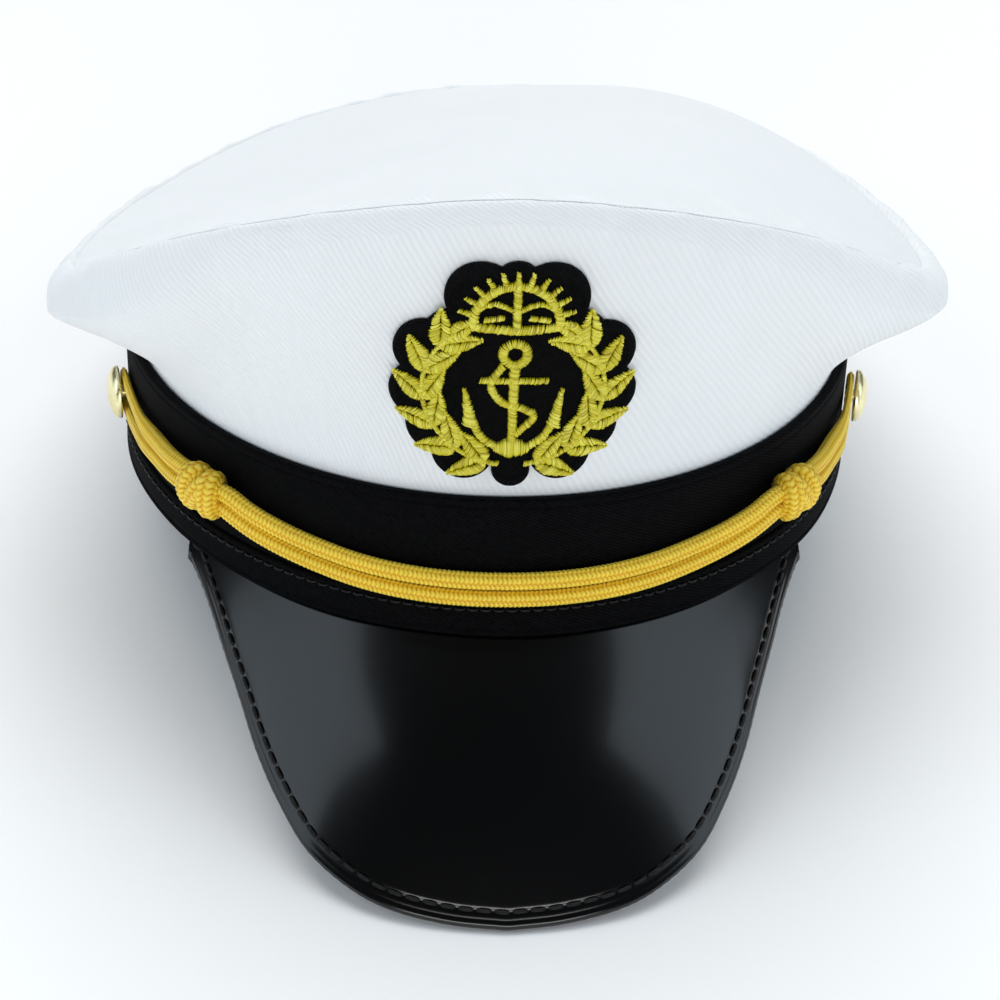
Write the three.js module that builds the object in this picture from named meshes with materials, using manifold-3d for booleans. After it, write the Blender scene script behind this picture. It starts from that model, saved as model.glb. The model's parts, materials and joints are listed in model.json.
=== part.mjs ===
// A captain's cap: white cloth crown, black band, patent peak, gold cap cord on two buttons and
// an embroidered badge. Millimetres, +Z up. The wearer faces -Y. The cap stands on a table, on its
// peak edge and the back of its rim.
// The cap is built upright about the head opening, and then tipped back until it stands.
import * as THREE from "three";
import Module from "manifold-3d";
import { mergeVertices } from "three/addons/utils/BufferGeometryUtils.js";
import { TessellateModifier } from "three/addons/modifiers/TessellateModifier.js";

const wasm = await Module();
wasm.setup();

// Head opening and band
const rimHalfWidth = 87;
const rimHalfDepth = 104.5;
const bandHeight = 32;
const bandWall = 2;
const hemHeight = 8;
const hemProud = 1.2;
const seamGap = 0.3;

// Crown cloth
const crownWall = 1.6;
const crownTuck = 4;
const frontHeight = 66;
const crownOverhang = 20;
const crownDome = 15;
const crownSkew = 1.1;

// Peak: its root runs along the hem to peakSpread degrees on each side of the front
const peakSpread = 52;
const peakReach = 41;
const peakDrop = 45;
const peakWall = 2.2;
const peakSide = 4;
const peakCrossBulge = 3;

// Cap cord, knots and buttons
const cordDiameter = 3.8;
const knotAngle = 44;
const knotLength = 11;
const knotHeight = 12;
const knotDepth = 8;
const knotRise = 7.5;
const cordSqueeze = 0.5;
const cordInKnot = 0.3;
const cordRoom = 0.4;
const buttonAngle = 76;
const buttonDiameter = 12.4;
const buttonDome = 2.5;
const buttonRim = 0.5;
const buttonZ = 17;
const shankDiameter = 3;

// Badge
const badgeWidth = 51;
const badgeHeight = 51;
const badgeThickness = 1.4;
const badgeCentreZ = 60.5;
const badgeRelief = 0.9;

// Facets
const ringSteps = 50;
const wallSteps = 11;
const topSteps = 6;
const peakSteps = 27;
const cordSides = 7;
const frontSteps = 22;
const loopSteps = 28;
const badgeFacet = 9;

// The crown's section from the band up to the top seam, at an angle in degrees from the front towards +X.
// Reaches are shares of crownOverhang, and heights above the band are shares of frontHeight.
// The soft cloth sags lower at the back of the -X side.
const crownSections = [
  { angle: -150, bulgeReach: 0.4, bulgeHeight: 0.11, seamReach: 0.22, seamHeight: 0.17 },
  { angle: -120, bulgeReach: 0.36, bulgeHeight: 0.08, seamReach: 0.18, seamHeight: 0.135 },
  { angle: -95, bulgeReach: 0.55, bulgeHeight: 0.09, seamReach: 0.32, seamHeight: 0.185 },
  { angle: -72, bulgeReach: 0.92, bulgeHeight: 0.17, seamReach: 0.56, seamHeight: 0.32 },
  { angle: -55, bulgeReach: 0.82, bulgeHeight: 0.36, seamReach: 0.56, seamHeight: 0.57 },
  { angle: -38, bulgeReach: 0.5, bulgeHeight: 0.66, seamReach: 0.36, seamHeight: 0.79 },
  { angle: -20, bulgeReach: 0.28, bulgeHeight: 0.85, seamReach: 0.15, seamHeight: 0.935 },
  { angle: 0, bulgeReach: 0.2, bulgeHeight: 0.93, seamReach: 0.08, seamHeight: 1.0 },
  { angle: 20, bulgeReach: 0.28, bulgeHeight: 0.85, seamReach: 0.15, seamHeight: 0.935 },
  { angle: 38, bulgeReach: 0.52, bulgeHeight: 0.66, seamReach: 0.38, seamHeight: 0.79 },
  { angle: 55, bulgeReach: 0.88, bulgeHeight: 0.4, seamReach: 0.62, seamHeight: 0.57 },
  { angle: 72, bulgeReach: 1.07, bulgeHeight: 0.24, seamReach: 0.7, seamHeight: 0.36 },
  { angle: 95, bulgeReach: 0.84, bulgeHeight: 0.17, seamReach: 0.52, seamHeight: 0.27 },
  { angle: 135, bulgeReach: 0.7, bulgeHeight: 0.17, seamReach: 0.44, seamHeight: 0.26 },
  { angle: 180, bulgeReach: 0.57, bulgeHeight: 0.145, seamReach: 0.34, seamHeight: 0.22 },
];

// The peak's outer edge from its tip to its corner: shares of the corner's distance from the middle,
// and of the distance forward from the corner to the tip
const peakEdgeRows = [
  { across: 0, forward: 1 },
  { across: 0.17, forward: 0.985 },
  { across: 0.34, forward: 0.95 },
  { across: 0.47, forward: 0.895 },
  { across: 0.6, forward: 0.8 },
  { across: 0.69, forward: 0.68 },
  { across: 0.762, forward: 0.55 },
  { across: 0.82, forward: 0.41 },
  { across: 0.875, forward: 0.28 },
  { across: 0.937, forward: 0.13 },
  { across: 1, forward: 0 },
];

// Soft folds of the crown wall: where each is deepest, how far it spreads, and its depth (out is positive).
// Heights are shares of the wall from the band to the seam.
const crownFolds = [
  { angle: -33, spread: 6, height: 0.55, rise: 0.3, depth: -1.0 },
  { angle: -46, spread: 7, height: 0.5, rise: 0.3, depth: 0.9 },
  { angle: 31, spread: 6, height: 0.5, rise: 0.3, depth: -0.9 },
  { angle: 43, spread: 6, height: 0.55, rise: 0.3, depth: 0.8 },
  { angle: 58, spread: 6, height: 0.5, rise: 0.28, depth: -0.9 },
  { angle: -62, spread: 6, height: 0.55, rise: 0.28, depth: -1.1 },
  { angle: 118, spread: 9, height: 0.5, rise: 0.3, depth: -1.0 },
  { angle: -125, spread: 9, height: 0.5, rise: 0.3, depth: -0.9 },
  { angle: 172, spread: 10, height: 0.5, rise: 0.3, depth: 0.7 },
];

// The badge patch's lobes and the badge's figures: shares of badgeWidth across and badgeHeight up
// from its middle.
const patchLobes = [
  { x: 0, z: -0.04, radius: 0.36 },
  { x: 0.135, z: 0.355, radius: 0.14 },
  { x: 0, z: 0.41, radius: 0.09 },
  { x: 0.235, z: 0.17, radius: 0.125 },
  { x: 0.345, z: 0.11, radius: 0.13 },
  { x: 0.375, z: -0.08, radius: 0.125 },
  { x: 0.31, z: -0.23, radius: 0.125 },
  { x: 0.2, z: -0.34, radius: 0.13 },
  { x: 0, z: -0.42, radius: 0.08 },
];

const cloth = (color, roughness) => new THREE.MeshStandardMaterial({ color, roughness, metalness: 0 });
const whiteTwill = cloth(0xf1f4f5, 0.8);
const blackCloth = cloth(0x0b0b0d, 0.85);
const patentPeak = cloth(0x07080a, 0.12);
const goldCord = cloth(0xe8b51c, 0.6);
const badgeFelt = cloth(0x08080a, 0.95);
const goldThread = cloth(0xcdb91a, 0.45);
const brass = new THREE.MeshStandardMaterial({ color: 0xd9c778, roughness: 0.25, metalness: 1 });

const radians = THREE.MathUtils.degToRad;
const smoothstep = THREE.MathUtils.smoothstep;
const plane = (x, y) => new THREE.Vector2(x, y);

// A smooth curve round the cap through one column of the section table
function columnCurve(name) {
  const rows = crownSections.map((row) => [row.angle, row[name]]);
  const turned = (count, turns) => [rows.at(count)[0] + 360 * turns, rows.at(count)[1]];
  const keys = [turned(-2, -1), turned(-1, -1), ...rows, turned(0, 1)];
  const slopes = keys.map((key, i) => {
    if (i === 0 || i === keys.length - 1) return 0;
    return (keys[i + 1][1] - keys[i - 1][1]) / (keys[i + 1][0] - keys[i - 1][0]);
  });
  return (degrees) => {
    const turn = 180 - THREE.MathUtils.euclideanModulo(180 - degrees, 360);
    const i = Math.max(1, keys.findLastIndex((key) => key[0] < turn));
    const span = keys[i + 1][0] - keys[i][0];
    const t = (turn - keys[i][0]) / span;
    const value = keys[i][1] + (keys[i + 1][1] - keys[i][1]) * t * t * (3 - 2 * t);
    return value + span * t * (1 - t) * (slopes[i] * (1 - t) - slopes[i + 1] * t);
  };
}
const bulgeReach = columnCurve("bulgeReach");
const bulgeHeight = columnCurve("bulgeHeight");
const seamReach = columnCurve("seamReach");
const seamHeight = columnCurve("seamHeight");

// A point outside the head oval by a reach, at an angle from the front, and at a height
function around(degrees, reach, z) {
  const angle = radians(degrees);
  const x = (rimHalfWidth + reach) * Math.sin(angle);
  return new THREE.Vector3(x, -(rimHalfDepth + reach) * Math.cos(angle), z);
}

// The direction that points straight out of the head oval
function outwards(degrees) {
  const angle = radians(degrees);
  const out = new THREE.Vector3(Math.sin(angle) / rimHalfWidth, -Math.cos(angle) / rimHalfDepth, 0);
  return out.normalize();
}

function bezier(points, t) {
  const s = 1 - t;
  const weights = [s * s * s, 3 * s * s * t, 3 * s * t * t, t * t * t];
  return points.reduce((sum, point, i) => sum.addScaledVector(point, weights[i]), plane(0, 0));
}

// The share of the crown wall's line spent behind the band, and the share at which it stands out most
const tuckShare = 1 / wallSteps;
const bulgeShare = 8 / wallSteps;
const crownBase = plane(-bandWall - seamGap, bandHeight - crownTuck);
const crownMouth = plane(-bandWall - seamGap, bandHeight + seamGap);
const crownBulge = (degrees) =>
  plane(crownOverhang * bulgeReach(degrees), bandHeight + frontHeight * bulgeHeight(degrees));
const crownSeam = (degrees) =>
  plane(crownOverhang * seamReach(degrees), bandHeight + frontHeight * seamHeight(degrees));

function foldDepth(degrees, share) {
  const fade = smoothstep(share, 0.02, 0.3) * (1 - smoothstep(share, 0.75, 1));
  const depths = crownFolds.map((fold) => {
    const across = (THREE.MathUtils.euclideanModulo(degrees - fold.angle + 180, 360) - 180) / fold.spread;
    const up = (share - fold.height) / fold.rise;
    return fold.depth * Math.exp(-across * across - up * up);
  });
  return fade * depths.reduce((sum, depth) => sum + depth);
}

// The crown wall's outer line as reach and height: t runs from the tuck behind the band to the top seam
function crownLine(degrees, t) {
  const bulge = crownBulge(degrees);
  const seam = crownSeam(degrees);
  if (t < tuckShare) return crownBase.clone().lerp(crownMouth, t / tuckShare);
  const share = (t - tuckShare) / (1 - tuckShare);
  if (t < bulgeShare) {
    const rise = bulge.y - crownMouth.y;
    const flare = [
      crownMouth,
      plane(crownMouth.x + 0.1 * (bulge.x - crownMouth.x), crownMouth.y + 0.45 * rise),
      plane(crownMouth.x + 0.8 * (bulge.x - crownMouth.x), bulge.y - 0.4 * rise),
      bulge,
    ];
    const point = bezier(flare, (t - tuckShare) / (bulgeShare - tuckShare));
    return point.setX(point.x + foldDepth(degrees, share));
  }
  const shoulder = [
    bulge,
    plane(bulge.x, bulge.y + 0.6 * (seam.y - bulge.y)),
    plane(seam.x + 0.55 * (bulge.x - seam.x), seam.y),
    seam,
  ];
  const point = bezier(shoulder, (t - bulgeShare) / (1 - bulgeShare));
  return point.setX(point.x + foldDepth(degrees, share));
}

// A point of the crown wall at a depth under its outer face, square to the cloth
function crownWallPoint(degrees, t, depth) {
  const step = 0.01;
  const here = crownLine(degrees, t);
  const along = crownLine(degrees, Math.min(1, t + step)).sub(crownLine(degrees, Math.max(0, t - step)));
  along.normalize();
  return around(degrees, here.x - depth * along.y, here.y + depth * along.x);
}

// A closed solid between the two faces of a sheet. pointAt(u, v, face) gives a point, face 1 being the outer.
// closed joins the ends in u, and pole gathers the edge at v = 0 into one point on each face.
function sheetSolid(pointAt, uSteps, vSteps, { closed = false, pole = false } = {}) {
  const positions = [];
  const triangles = [];
  const columns = closed ? uSteps : uSteps + 1;
  const addPoint = (i, j, face) => {
    pointAt(i / uSteps, j / vSteps, face).toArray(positions, positions.length);
    return positions.length / 3 - 1;
  };
  const grid = [0, 1].map((face) =>
    Array.from({ length: vSteps + 1 }, (_, j) => {
      if (pole && j === 0) return new Array(columns).fill(addPoint(0, 0, face));
      return Array.from({ length: columns }, (__, i) => addPoint(i, j, face));
    }),
  );
  const addQuad = (a, b, c, d) => {
    const halves = [[a, b, c], [a, c, d]];
    triangles.push(...halves.filter((half) => new Set(half).size === 3).flat());
  };
  const [inner, outer] = grid;
  for (let i = 0; i < uSteps; i += 1) {
    const next = (i + 1) % columns;
    for (let j = 0; j < vSteps; j += 1) {
      addQuad(outer[j][i], outer[j][next], outer[j + 1][next], outer[j + 1][i]);
      addQuad(inner[j][i], inner[j + 1][i], inner[j + 1][next], inner[j][next]);
    }
    addQuad(outer[vSteps][i], outer[vSteps][next], inner[vSteps][next], inner[vSteps][i]);
    if (!pole) addQuad(outer[0][next], outer[0][i], inner[0][i], inner[0][next]);
  }
  if (!closed) {
    for (let j = 0; j < vSteps; j += 1) {
      addQuad(outer[j][0], outer[j + 1][0], inner[j + 1][0], inner[j][0]);
      addQuad(outer[j + 1][uSteps], outer[j][uSteps], inner[j][uSteps], inner[j + 1][uSteps]);
    }
  }
  return new THREE.BufferGeometry()
    .setAttribute("position", new THREE.Float32BufferAttribute(positions, 3))
    .setIndex(triangles);
}

function toSolid(geometry) {
  const bare = geometry.clone();
  bare.deleteAttribute("normal");
  bare.deleteAttribute("uv");
  const merged = mergeVertices(bare, 1e-4);
  const vertProperties = merged.attributes.position.array;
  const triVerts = new Uint32Array(merged.index.array);
  return new wasm.Manifold(new wasm.Mesh({ numProp: 3, vertProperties, triVerts }));
}

function toGeometry(solid) {
  const mesh = solid.getMesh();
  return new THREE.BufferGeometry()
    .setAttribute("position", new THREE.BufferAttribute(new Float32Array(mesh.vertProperties), 3))
    .setIndex(new THREE.BufferAttribute(new Uint32Array(mesh.triVerts), 1));
}

const fuse = (geometries) => geometries.map(toSolid).reduce((sum, solid) => sum.add(solid));

const cap = new THREE.Group();
cap.name = "cap";

function addPiece(name, geometry, material) {
  const mesh = new THREE.Mesh(geometry, material);
  mesh.name = name;
  cap.add(mesh);
  return mesh;
}

// Each ring starts half a facet off the front, so that a flat facet lies across the middle of the
// front and back
const ringAngle = (u) => 360 * (u + 0.5 / ringSteps);

function makeBand() {
  const bottom = hemHeight + seamGap;
  const point = (u, v, face) => {
    const reach = face ? 0 : -bandWall;
    return around(ringAngle(u), reach, bottom + v * (bandHeight - bottom));
  };
  return sheetSolid(point, ringSteps, 1, { closed: true });
}

function makeHem() {
  const taper = 0.4;
  const point = (u, v, face) => {
    const reach = face ? hemProud * (1 - taper * v) : -bandWall;
    return around(ringAngle(u), reach, v * hemHeight);
  };
  return sheetSolid(point, ringSteps, 1, { closed: true });
}

function makeCrownSide() {
  const point = (u, v, face) => crownWallPoint(ringAngle(u), v, face ? 0 : crownWall);
  return sheetSolid(point, ringSteps, wallSteps, { closed: true });
}

// The crown top is a cloth stretched over the seam and domed: each wave of the seam's height fades
// to the middle
const seamWaves = Array.from({ length: 7 }, (_, wave) => {
  const samples = 360;
  const size = { cosine: 0, sine: 0 };
  for (let degrees = 0; degrees < samples; degrees += 1) {
    const height = (crownSeam(degrees).y * (wave ? 2 : 1)) / samples;
    size.cosine += height * Math.cos(wave * radians(degrees));
    size.sine += height * Math.sin(wave * radians(degrees));
  }
  return size;
});

function stretchedHeight(degrees, share) {
  const heights = seamWaves.map(({ cosine, sine }, wave) => {
    const angle = wave * radians(degrees);
    return share ** wave * (cosine * Math.cos(angle) + sine * Math.sin(angle));
  });
  return heights.reduce((sum, height) => sum + height);
}

function crownTopPoint(degrees, share, depth) {
  const seam = crownSeam(degrees);
  const edge = around(degrees, seam.x - seamGap, 0);
  const rest = (seam.y - stretchedHeight(degrees, 1)) * share ** seamWaves.length;
  const dome = crownDome * (1 - share ** 2) * (1 + crownSkew * share * Math.sin(radians(degrees)));
  return edge.multiplyScalar(share).setZ(stretchedHeight(degrees, share) + rest + dome - depth);
}

function makeCrownTop() {
  const spacing = 0.8;
  const point = (u, v, face) => crownTopPoint(ringAngle(-u), v ** spacing, face ? 0 : crownWall);
  return sheetSolid(point, ringSteps, topSteps, { closed: true, pole: true });
}

const peakEdge = new THREE.SplineCurve(peakEdgeRows.map((row) => plane(row.across, row.forward)));

// The peak's outer face: u runs from the +X corner to the -X one, v from the hem to the outer edge
function peakFace(u, v) {
  const across = 1 - 2 * u;
  const root = around(peakSpread * across, 0, -seamGap);
  const corner = around(peakSpread, 0, -seamGap);
  const { x: width, y: forward } = peakEdge.getPoint(Math.abs(across));
  const reach = rimHalfDepth + peakReach + corner.y - peakSide;
  const drop = peakDrop * ((peakSide + reach * forward) / (peakSide + reach));
  const x = corner.x * Math.sign(across) * width;
  const edge = new THREE.Vector3(x, corner.y - peakSide - reach * forward, -drop);
  const point = root.lerp(edge, v);
  const bulge = peakCrossBulge * Math.sin(Math.PI * v) * forward;
  return point.add(new THREE.Vector3(0, -bulge, bulge).multiplyScalar(Math.SQRT1_2));
}

function peakPoint(u, v, face) {
  const point = peakFace(u, v);
  if (face) return point;
  const step = 0.01;
  const acrossStep = peakFace(Math.min(1, u + step), v).sub(peakFace(Math.max(0, u - step), v));
  const alongStep = peakFace(u, Math.min(1, v + step)).sub(peakFace(u, Math.max(0, v - step)));
  const normal = acrossStep.cross(alongStep).normalize();
  if (normal.z < 0) normal.negate();
  return point.addScaledVector(normal, -peakWall);
}

function makePeak() {
  return sheetSolid(peakPoint, peakSteps, 6);
}

// A cord along a list of points on the cap's side: thickness gives its share of cordDiameter square
// to the cap, at a share t of its length, and spare widens it all round
function makeCord(points, steps, thickness = () => 1, spare = 0) {
  const curve = new THREE.CatmullRomCurve3(points);
  const positions = [];
  const triangles = [];
  for (let i = 0; i <= steps; i += 1) {
    const t = i / steps;
    const centre = curve.getPointAt(t);
    const along = curve.getTangentAt(t);
    const out = new THREE.Vector3(centre.x / rimHalfWidth ** 2, centre.y / rimHalfDepth ** 2, 0);
    const across = along.clone().cross(out).normalize();
    out.copy(across).cross(along);
    for (let j = 0; j < cordSides; j += 1) {
      const turn = (2 * Math.PI * j) / cordSides;
      const point = centre.clone();
      point.addScaledVector(out, (spare + (cordDiameter / 2) * thickness(t)) * Math.cos(turn));
      point.addScaledVector(across, (spare + cordDiameter / 2) * Math.sin(turn));
      point.toArray(positions, positions.length);
    }
  }
  const at = (i, j) => i * cordSides + (j % cordSides);
  for (let j = 0; j < cordSides; j += 1) {
    for (let i = 0; i < steps; i += 1) {
      triangles.push(at(i, j), at(i + 1, j + 1), at(i + 1, j));
      triangles.push(at(i, j), at(i, j + 1), at(i + 1, j + 1));
    }
  }
  for (let j = 1; j < cordSides - 1; j += 1) {
    triangles.push(at(0, 0), at(0, j + 1), at(0, j));
    triangles.push(at(steps, 0), at(steps, j), at(steps, j + 1));
  }
  return new THREE.BufferGeometry()
    .setAttribute("position", new THREE.Float32BufferAttribute(positions, 3))
    .setIndex(triangles);
}

const cordPitch = cordDiameter + seamGap;
const cordSeat = seamGap + cordDiameter / 2;
const cordZ = hemHeight + seamGap + cordDiameter / 2 + cordPitch / 2;
const knotReach = seamGap + knotDepth / 2;
const knotZ = cordZ + knotRise;

const knotHalfTurn = knotLength / 2 / radians(rimHalfWidth + cordSeat);
const cordLift = 0.8 * (knotReach - cordSeat);

// A strand of the front cord from knot to knot: row is +1 for the upper strand and -1 for the lower,
// and inKnot is the share of half the knot's length that the strand goes in
function frontCordPoints(row, inKnot) {
  const bends = 14;
  const liftTurn = 16;
  const mouth = knotAngle - knotHalfTurn;
  const end = mouth + knotHalfTurn * inKnot;
  return Array.from({ length: bends + 1 }, (_, i) => {
    const angle = end * ((2 * i) / bends - 1);
    const lift = smoothstep(Math.abs(angle), mouth - liftTurn, mouth);
    const rise = knotRise * Math.min(1, Math.abs(angle) / mouth) ** 3;
    return around(angle, cordSeat + lift * cordLift, cordZ + rise + (row * cordPitch) / 2);
  });
}

// A strand from a knot up to the button, round its shank, and back: side is +1 for the image's right
function loopPoints(side, inKnot) {
  const mouth = knotAngle + knotHalfTurn;
  const start = mouth - knotHalfTurn * inKnot;
  const turnRadius = (shankDiameter + cordDiameter) / 2 + seamGap;
  const squeezed = seamGap + (cordSqueeze * cordDiameter) / 2;
  const half = (row) => {
    const rises = 5;
    return Array.from({ length: rises + 1 }, (_, i) => {
      const angle = start + ((buttonAngle - start) * i) / rises;
      const share = Math.max(0, (angle - mouth) / (buttonAngle - mouth));
      const lift = 1 - smoothstep(share, 0, 0.45);
      const seat = THREE.MathUtils.lerp(cordSeat, squeezed, smoothstep(share, 0.5, 0.9));
      const spread = THREE.MathUtils.lerp(cordPitch / 2, turnRadius, smoothstep(share, 0.3, 1));
      const z = knotZ + (buttonZ - knotZ) * share + row * spread;
      return around(side * angle, seat + lift * cordLift, z);
    });
  };
  const turns = [45, 0, -45].map((turn) => {
    const angle = buttonAngle + (turnRadius * Math.cos(radians(turn))) / radians(rimHalfDepth + cordSeat);
    return around(side * angle, squeezed, buttonZ + turnRadius * Math.sin(radians(turn)));
  });
  return [...half(1), ...turns, ...half(-1).reverse()];
}

// The loop's cord is pressed flat under the button, halfway along its length
const loopThickness = (t) => 1 - (1 - cordSqueeze) * smoothstep(0.5 - Math.abs(t - 0.5), 0.18, 0.32);

// A place on the cap's side, with x along the oval, y up and z straight out
function sidePlace(degrees, reach, z) {
  const out = outwards(degrees);
  const up = new THREE.Vector3(0, 0, 1);
  const frame = new THREE.Matrix4().makeBasis(up.clone().cross(out), up, out);
  return frame.setPosition(around(degrees, reach, z));
}

// A knot of three turns of cord, with room cut in it for the strands that enter
function makeKnot(side) {
  const tube = 0.21 * knotHeight;
  const wraps = [
    { along: -0.24, tilt: 72, lean: 0 },
    { along: 0.24, tilt: 108, lean: 0 },
    { along: 0, tilt: 90, lean: 38 },
  ];
  const turns = wraps.map((wrap) => {
    const turn = new THREE.TorusGeometry(knotHeight / 2 - tube, tube, 6, 10);
    turn.rotateY(radians(wrap.tilt));
    turn.rotateZ(radians(wrap.lean));
    turn.translate(wrap.along * knotLength, 0, 0);
    turn.scale(1, 1, knotDepth / knotHeight);
    return turn;
  });
  const core = new THREE.SphereGeometry(0.3 * knotHeight, 8, 6);
  const place = sidePlace(side * knotAngle, knotReach, knotZ);
  const full = () => 1;
  const room = [
    makeCord(frontCordPoints(1, cordRoom), frontSteps, full, seamGap),
    makeCord(frontCordPoints(-1, cordRoom), frontSteps, full, seamGap),
    makeCord(loopPoints(side, cordRoom), loopSteps, loopThickness, seamGap),
  ];
  const body = fuse([core, ...turns].map((turn) => turn.applyMatrix4(place)));
  return toGeometry(room.map(toSolid).reduce((knot, cord) => knot.subtract(cord), body));
}

function makeButton(side) {
  const radius = buttonDiameter / 2;
  const under = cordSqueeze * cordDiameter + seamGap;
  const domeSteps = 5;
  const dome = Array.from({ length: domeSteps + 1 }, (_, i) => {
    const turn = (Math.PI / 2) * (i / domeSteps);
    return plane(radius * Math.cos(turn), under + buttonRim + buttonDome * Math.sin(turn));
  });
  dome[domeSteps].x = 0;
  const profile = [
    plane(0, 0),
    plane(shankDiameter / 2, 0),
    plane(shankDiameter / 2, under),
    plane(radius - buttonRim / 2, under),
    ...dome,
  ];
  const button = new THREE.LatheGeometry(profile, 16);
  button.rotateX(Math.PI / 2);
  return button.applyMatrix4(sidePlace(side * buttonAngle, seamGap, buttonZ));
}

// The crown wall's reach at a height, on the front panel
function panelReach(degrees, z) {
  let low = tuckShare;
  let high = 1;
  for (let i = 0; i < 24; i += 1) {
    const middle = (low + high) / 2;
    if (crownLine(degrees, middle).y < z) low = middle;
    else high = middle;
  }
  return crownLine(degrees, low).x;
}

// Lays a flat figure, drawn in mm about the badge's middle with its depth along z, on the front panel
function layOnPanel(solid, lift) {
  const panelRadius = rimHalfWidth + crownOverhang * bulgeReach(0);
  const fine = new TessellateModifier(badgeFacet, 12).modify(toGeometry(solid).toNonIndexed());
  const position = fine.attributes.position;
  for (let i = 0; i < position.count; i += 1) {
    const z = badgeCentreZ + position.getY(i);
    const degrees = THREE.MathUtils.radToDeg(position.getX(i) / panelRadius);
    const reach = panelReach(degrees, z) + lift + position.getZ(i);
    position.setXYZ(i, ...around(degrees, reach, z).toArray());
  }
  fine.deleteAttribute("normal");
  return mergeVertices(fine, 1e-3);
}

function flat(points, depth, hole) {
  const shape = new THREE.Shape(points);
  if (hole) shape.holes.push(new THREE.Path(hole));
  return new THREE.ExtrudeGeometry(shape, { depth, bevelEnabled: false });
}

const onBadge = (x, z) => plane(x * badgeWidth, z * badgeHeight);

function oval(x, z, radiusX, radiusZ, sides) {
  return Array.from({ length: sides }, (_, i) => {
    const turn = (2 * Math.PI * i) / sides;
    return onBadge(x + radiusX * Math.cos(turn), z + radiusZ * Math.sin(turn));
  });
}

// A flat ribbon along a curve through the points, with a width at its start and at its end
function ribbon(points, startWidth, endWidth, steps) {
  const curve = new THREE.SplineCurve(points.map(([x, z]) => onBadge(x, z)));
  const sides = [1, -1].map((side) =>
    Array.from({ length: steps + 1 }, (_, i) => {
      const t = i / steps;
      const along = curve.getTangent(t);
      const half = (badgeWidth * THREE.MathUtils.lerp(startWidth, endWidth, t)) / 2;
      return curve.getPoint(t).add(plane(-along.y, along.x).multiplyScalar(side * half));
    }),
  );
  return flat([...sides[0], ...sides[1].reverse()], badgeRelief);
}

// The patch's outline: the farthest lobe in each direction from the middle, the lobes being mirrored
function makePatch() {
  const lobes = patchLobes.flatMap((lobe) => [lobe, { ...lobe, x: -lobe.x }]);
  const sides = 60;
  const outline = Array.from({ length: sides }, (_, i) => {
    const turn = (2 * Math.PI * i) / sides;
    const way = plane(Math.cos(turn), Math.sin(turn));
    const far = lobes.map((lobe) => {
      const along = lobe.x * way.x + lobe.z * way.y;
      const offSquared = lobe.x ** 2 + lobe.z ** 2 - along ** 2;
      return offSquared < lobe.radius ** 2 ? along + Math.sqrt(lobe.radius ** 2 - offSquared) : 0;
    });
    return onBadge(way.x * Math.max(...far), way.y * Math.max(...far));
  });
  return layOnPanel(toSolid(flat(outline, badgeThickness)), seamGap);
}

const reliefLift = 2 * seamGap + badgeThickness;

function makeAnchor() {
  const fluke = (side) => [
    onBadge(side * 0.19, -0.05),
    onBadge(side * 0.13, -0.2),
    onBadge(side * 0.165, -0.235),
    onBadge(side * 0.2, -0.2),
  ];
  const crownPlate = oval(0, -0.315, 0.075, 0.042, 10);
  const ropeTurns = [
    [-0.045, 0.06], [-0.09, -0.02], [-0.05, -0.1], [0.03, -0.13], [0.085, -0.17], [0.015, -0.25],
  ];
  const pieces = [
    flat(oval(0, 0.115, 0.066, 0.066, 14), badgeRelief, oval(0, 0.115, 0.03, 0.03, 8)),
    ribbon([[0, 0.07], [0, -0.12], [0, -0.31]], 0.04, 0.032, 3),
    ribbon([[-0.13, -0.005], [0.13, -0.005]], 0.026, 0.026, 1),
    ribbon([[-0.165, -0.2], [-0.11, -0.28], [0, -0.325], [0.11, -0.28], [0.165, -0.2]], 0.032, 0.032, 8),
    ribbon(ropeTurns, 0.03, 0.03, 12),
    flat(crownPlate, badgeRelief),
    flat(fluke(1), badgeRelief),
    flat(fluke(-1).reverse(), badgeRelief),
  ];
  return layOnPanel(fuse(pieces), reliefLift);
}

// One branch of the wreath, rising from the bottom of the badge: side is +1 for the image's right
function makeBranch(side) {
  const stem = (turn) => {
    const angle = radians(turn);
    return [side * (0.02 + 0.34 * Math.sin(angle)), -0.06 - 0.33 * Math.cos(angle)];
  };
  const startTurn = 6;
  const endTurn = 142;
  const rows = 6;
  const leafLength = 0.155;
  const leafWidth = 0.06;
  const leaf = (turn, splay) => {
    const [x, z] = stem(turn);
    const [aheadX, aheadZ] = stem(turn + 1);
    const heading = Math.atan2(aheadZ - z, aheadX - x) + radians(splay);
    const outline = [[-0.1, 0], [0.3, -0.5], [0.65, -0.42], [1, 0], [0.65, 0.42], [0.3, 0.5]];
    const points = outline.map(([along, across]) => {
      const way = plane(along * leafLength, across * leafWidth).rotateAround(plane(0, 0), heading);
      return onBadge(x + way.x, z + way.y);
    });
    return flat(points, badgeRelief);
  };
  const pieces = [ribbon([6, 40, 74, 108, endTurn].map(stem), 0.02, 0.014, 10)];
  for (let i = 0; i < rows; i += 1) {
    const turn = startTurn + ((endTurn - startTurn) * (i + 0.4)) / rows;
    pieces.push(leaf(turn, 38), leaf(turn, -38));
  }
  return layOnPanel(fuse(pieces), reliefLift);
}

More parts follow.
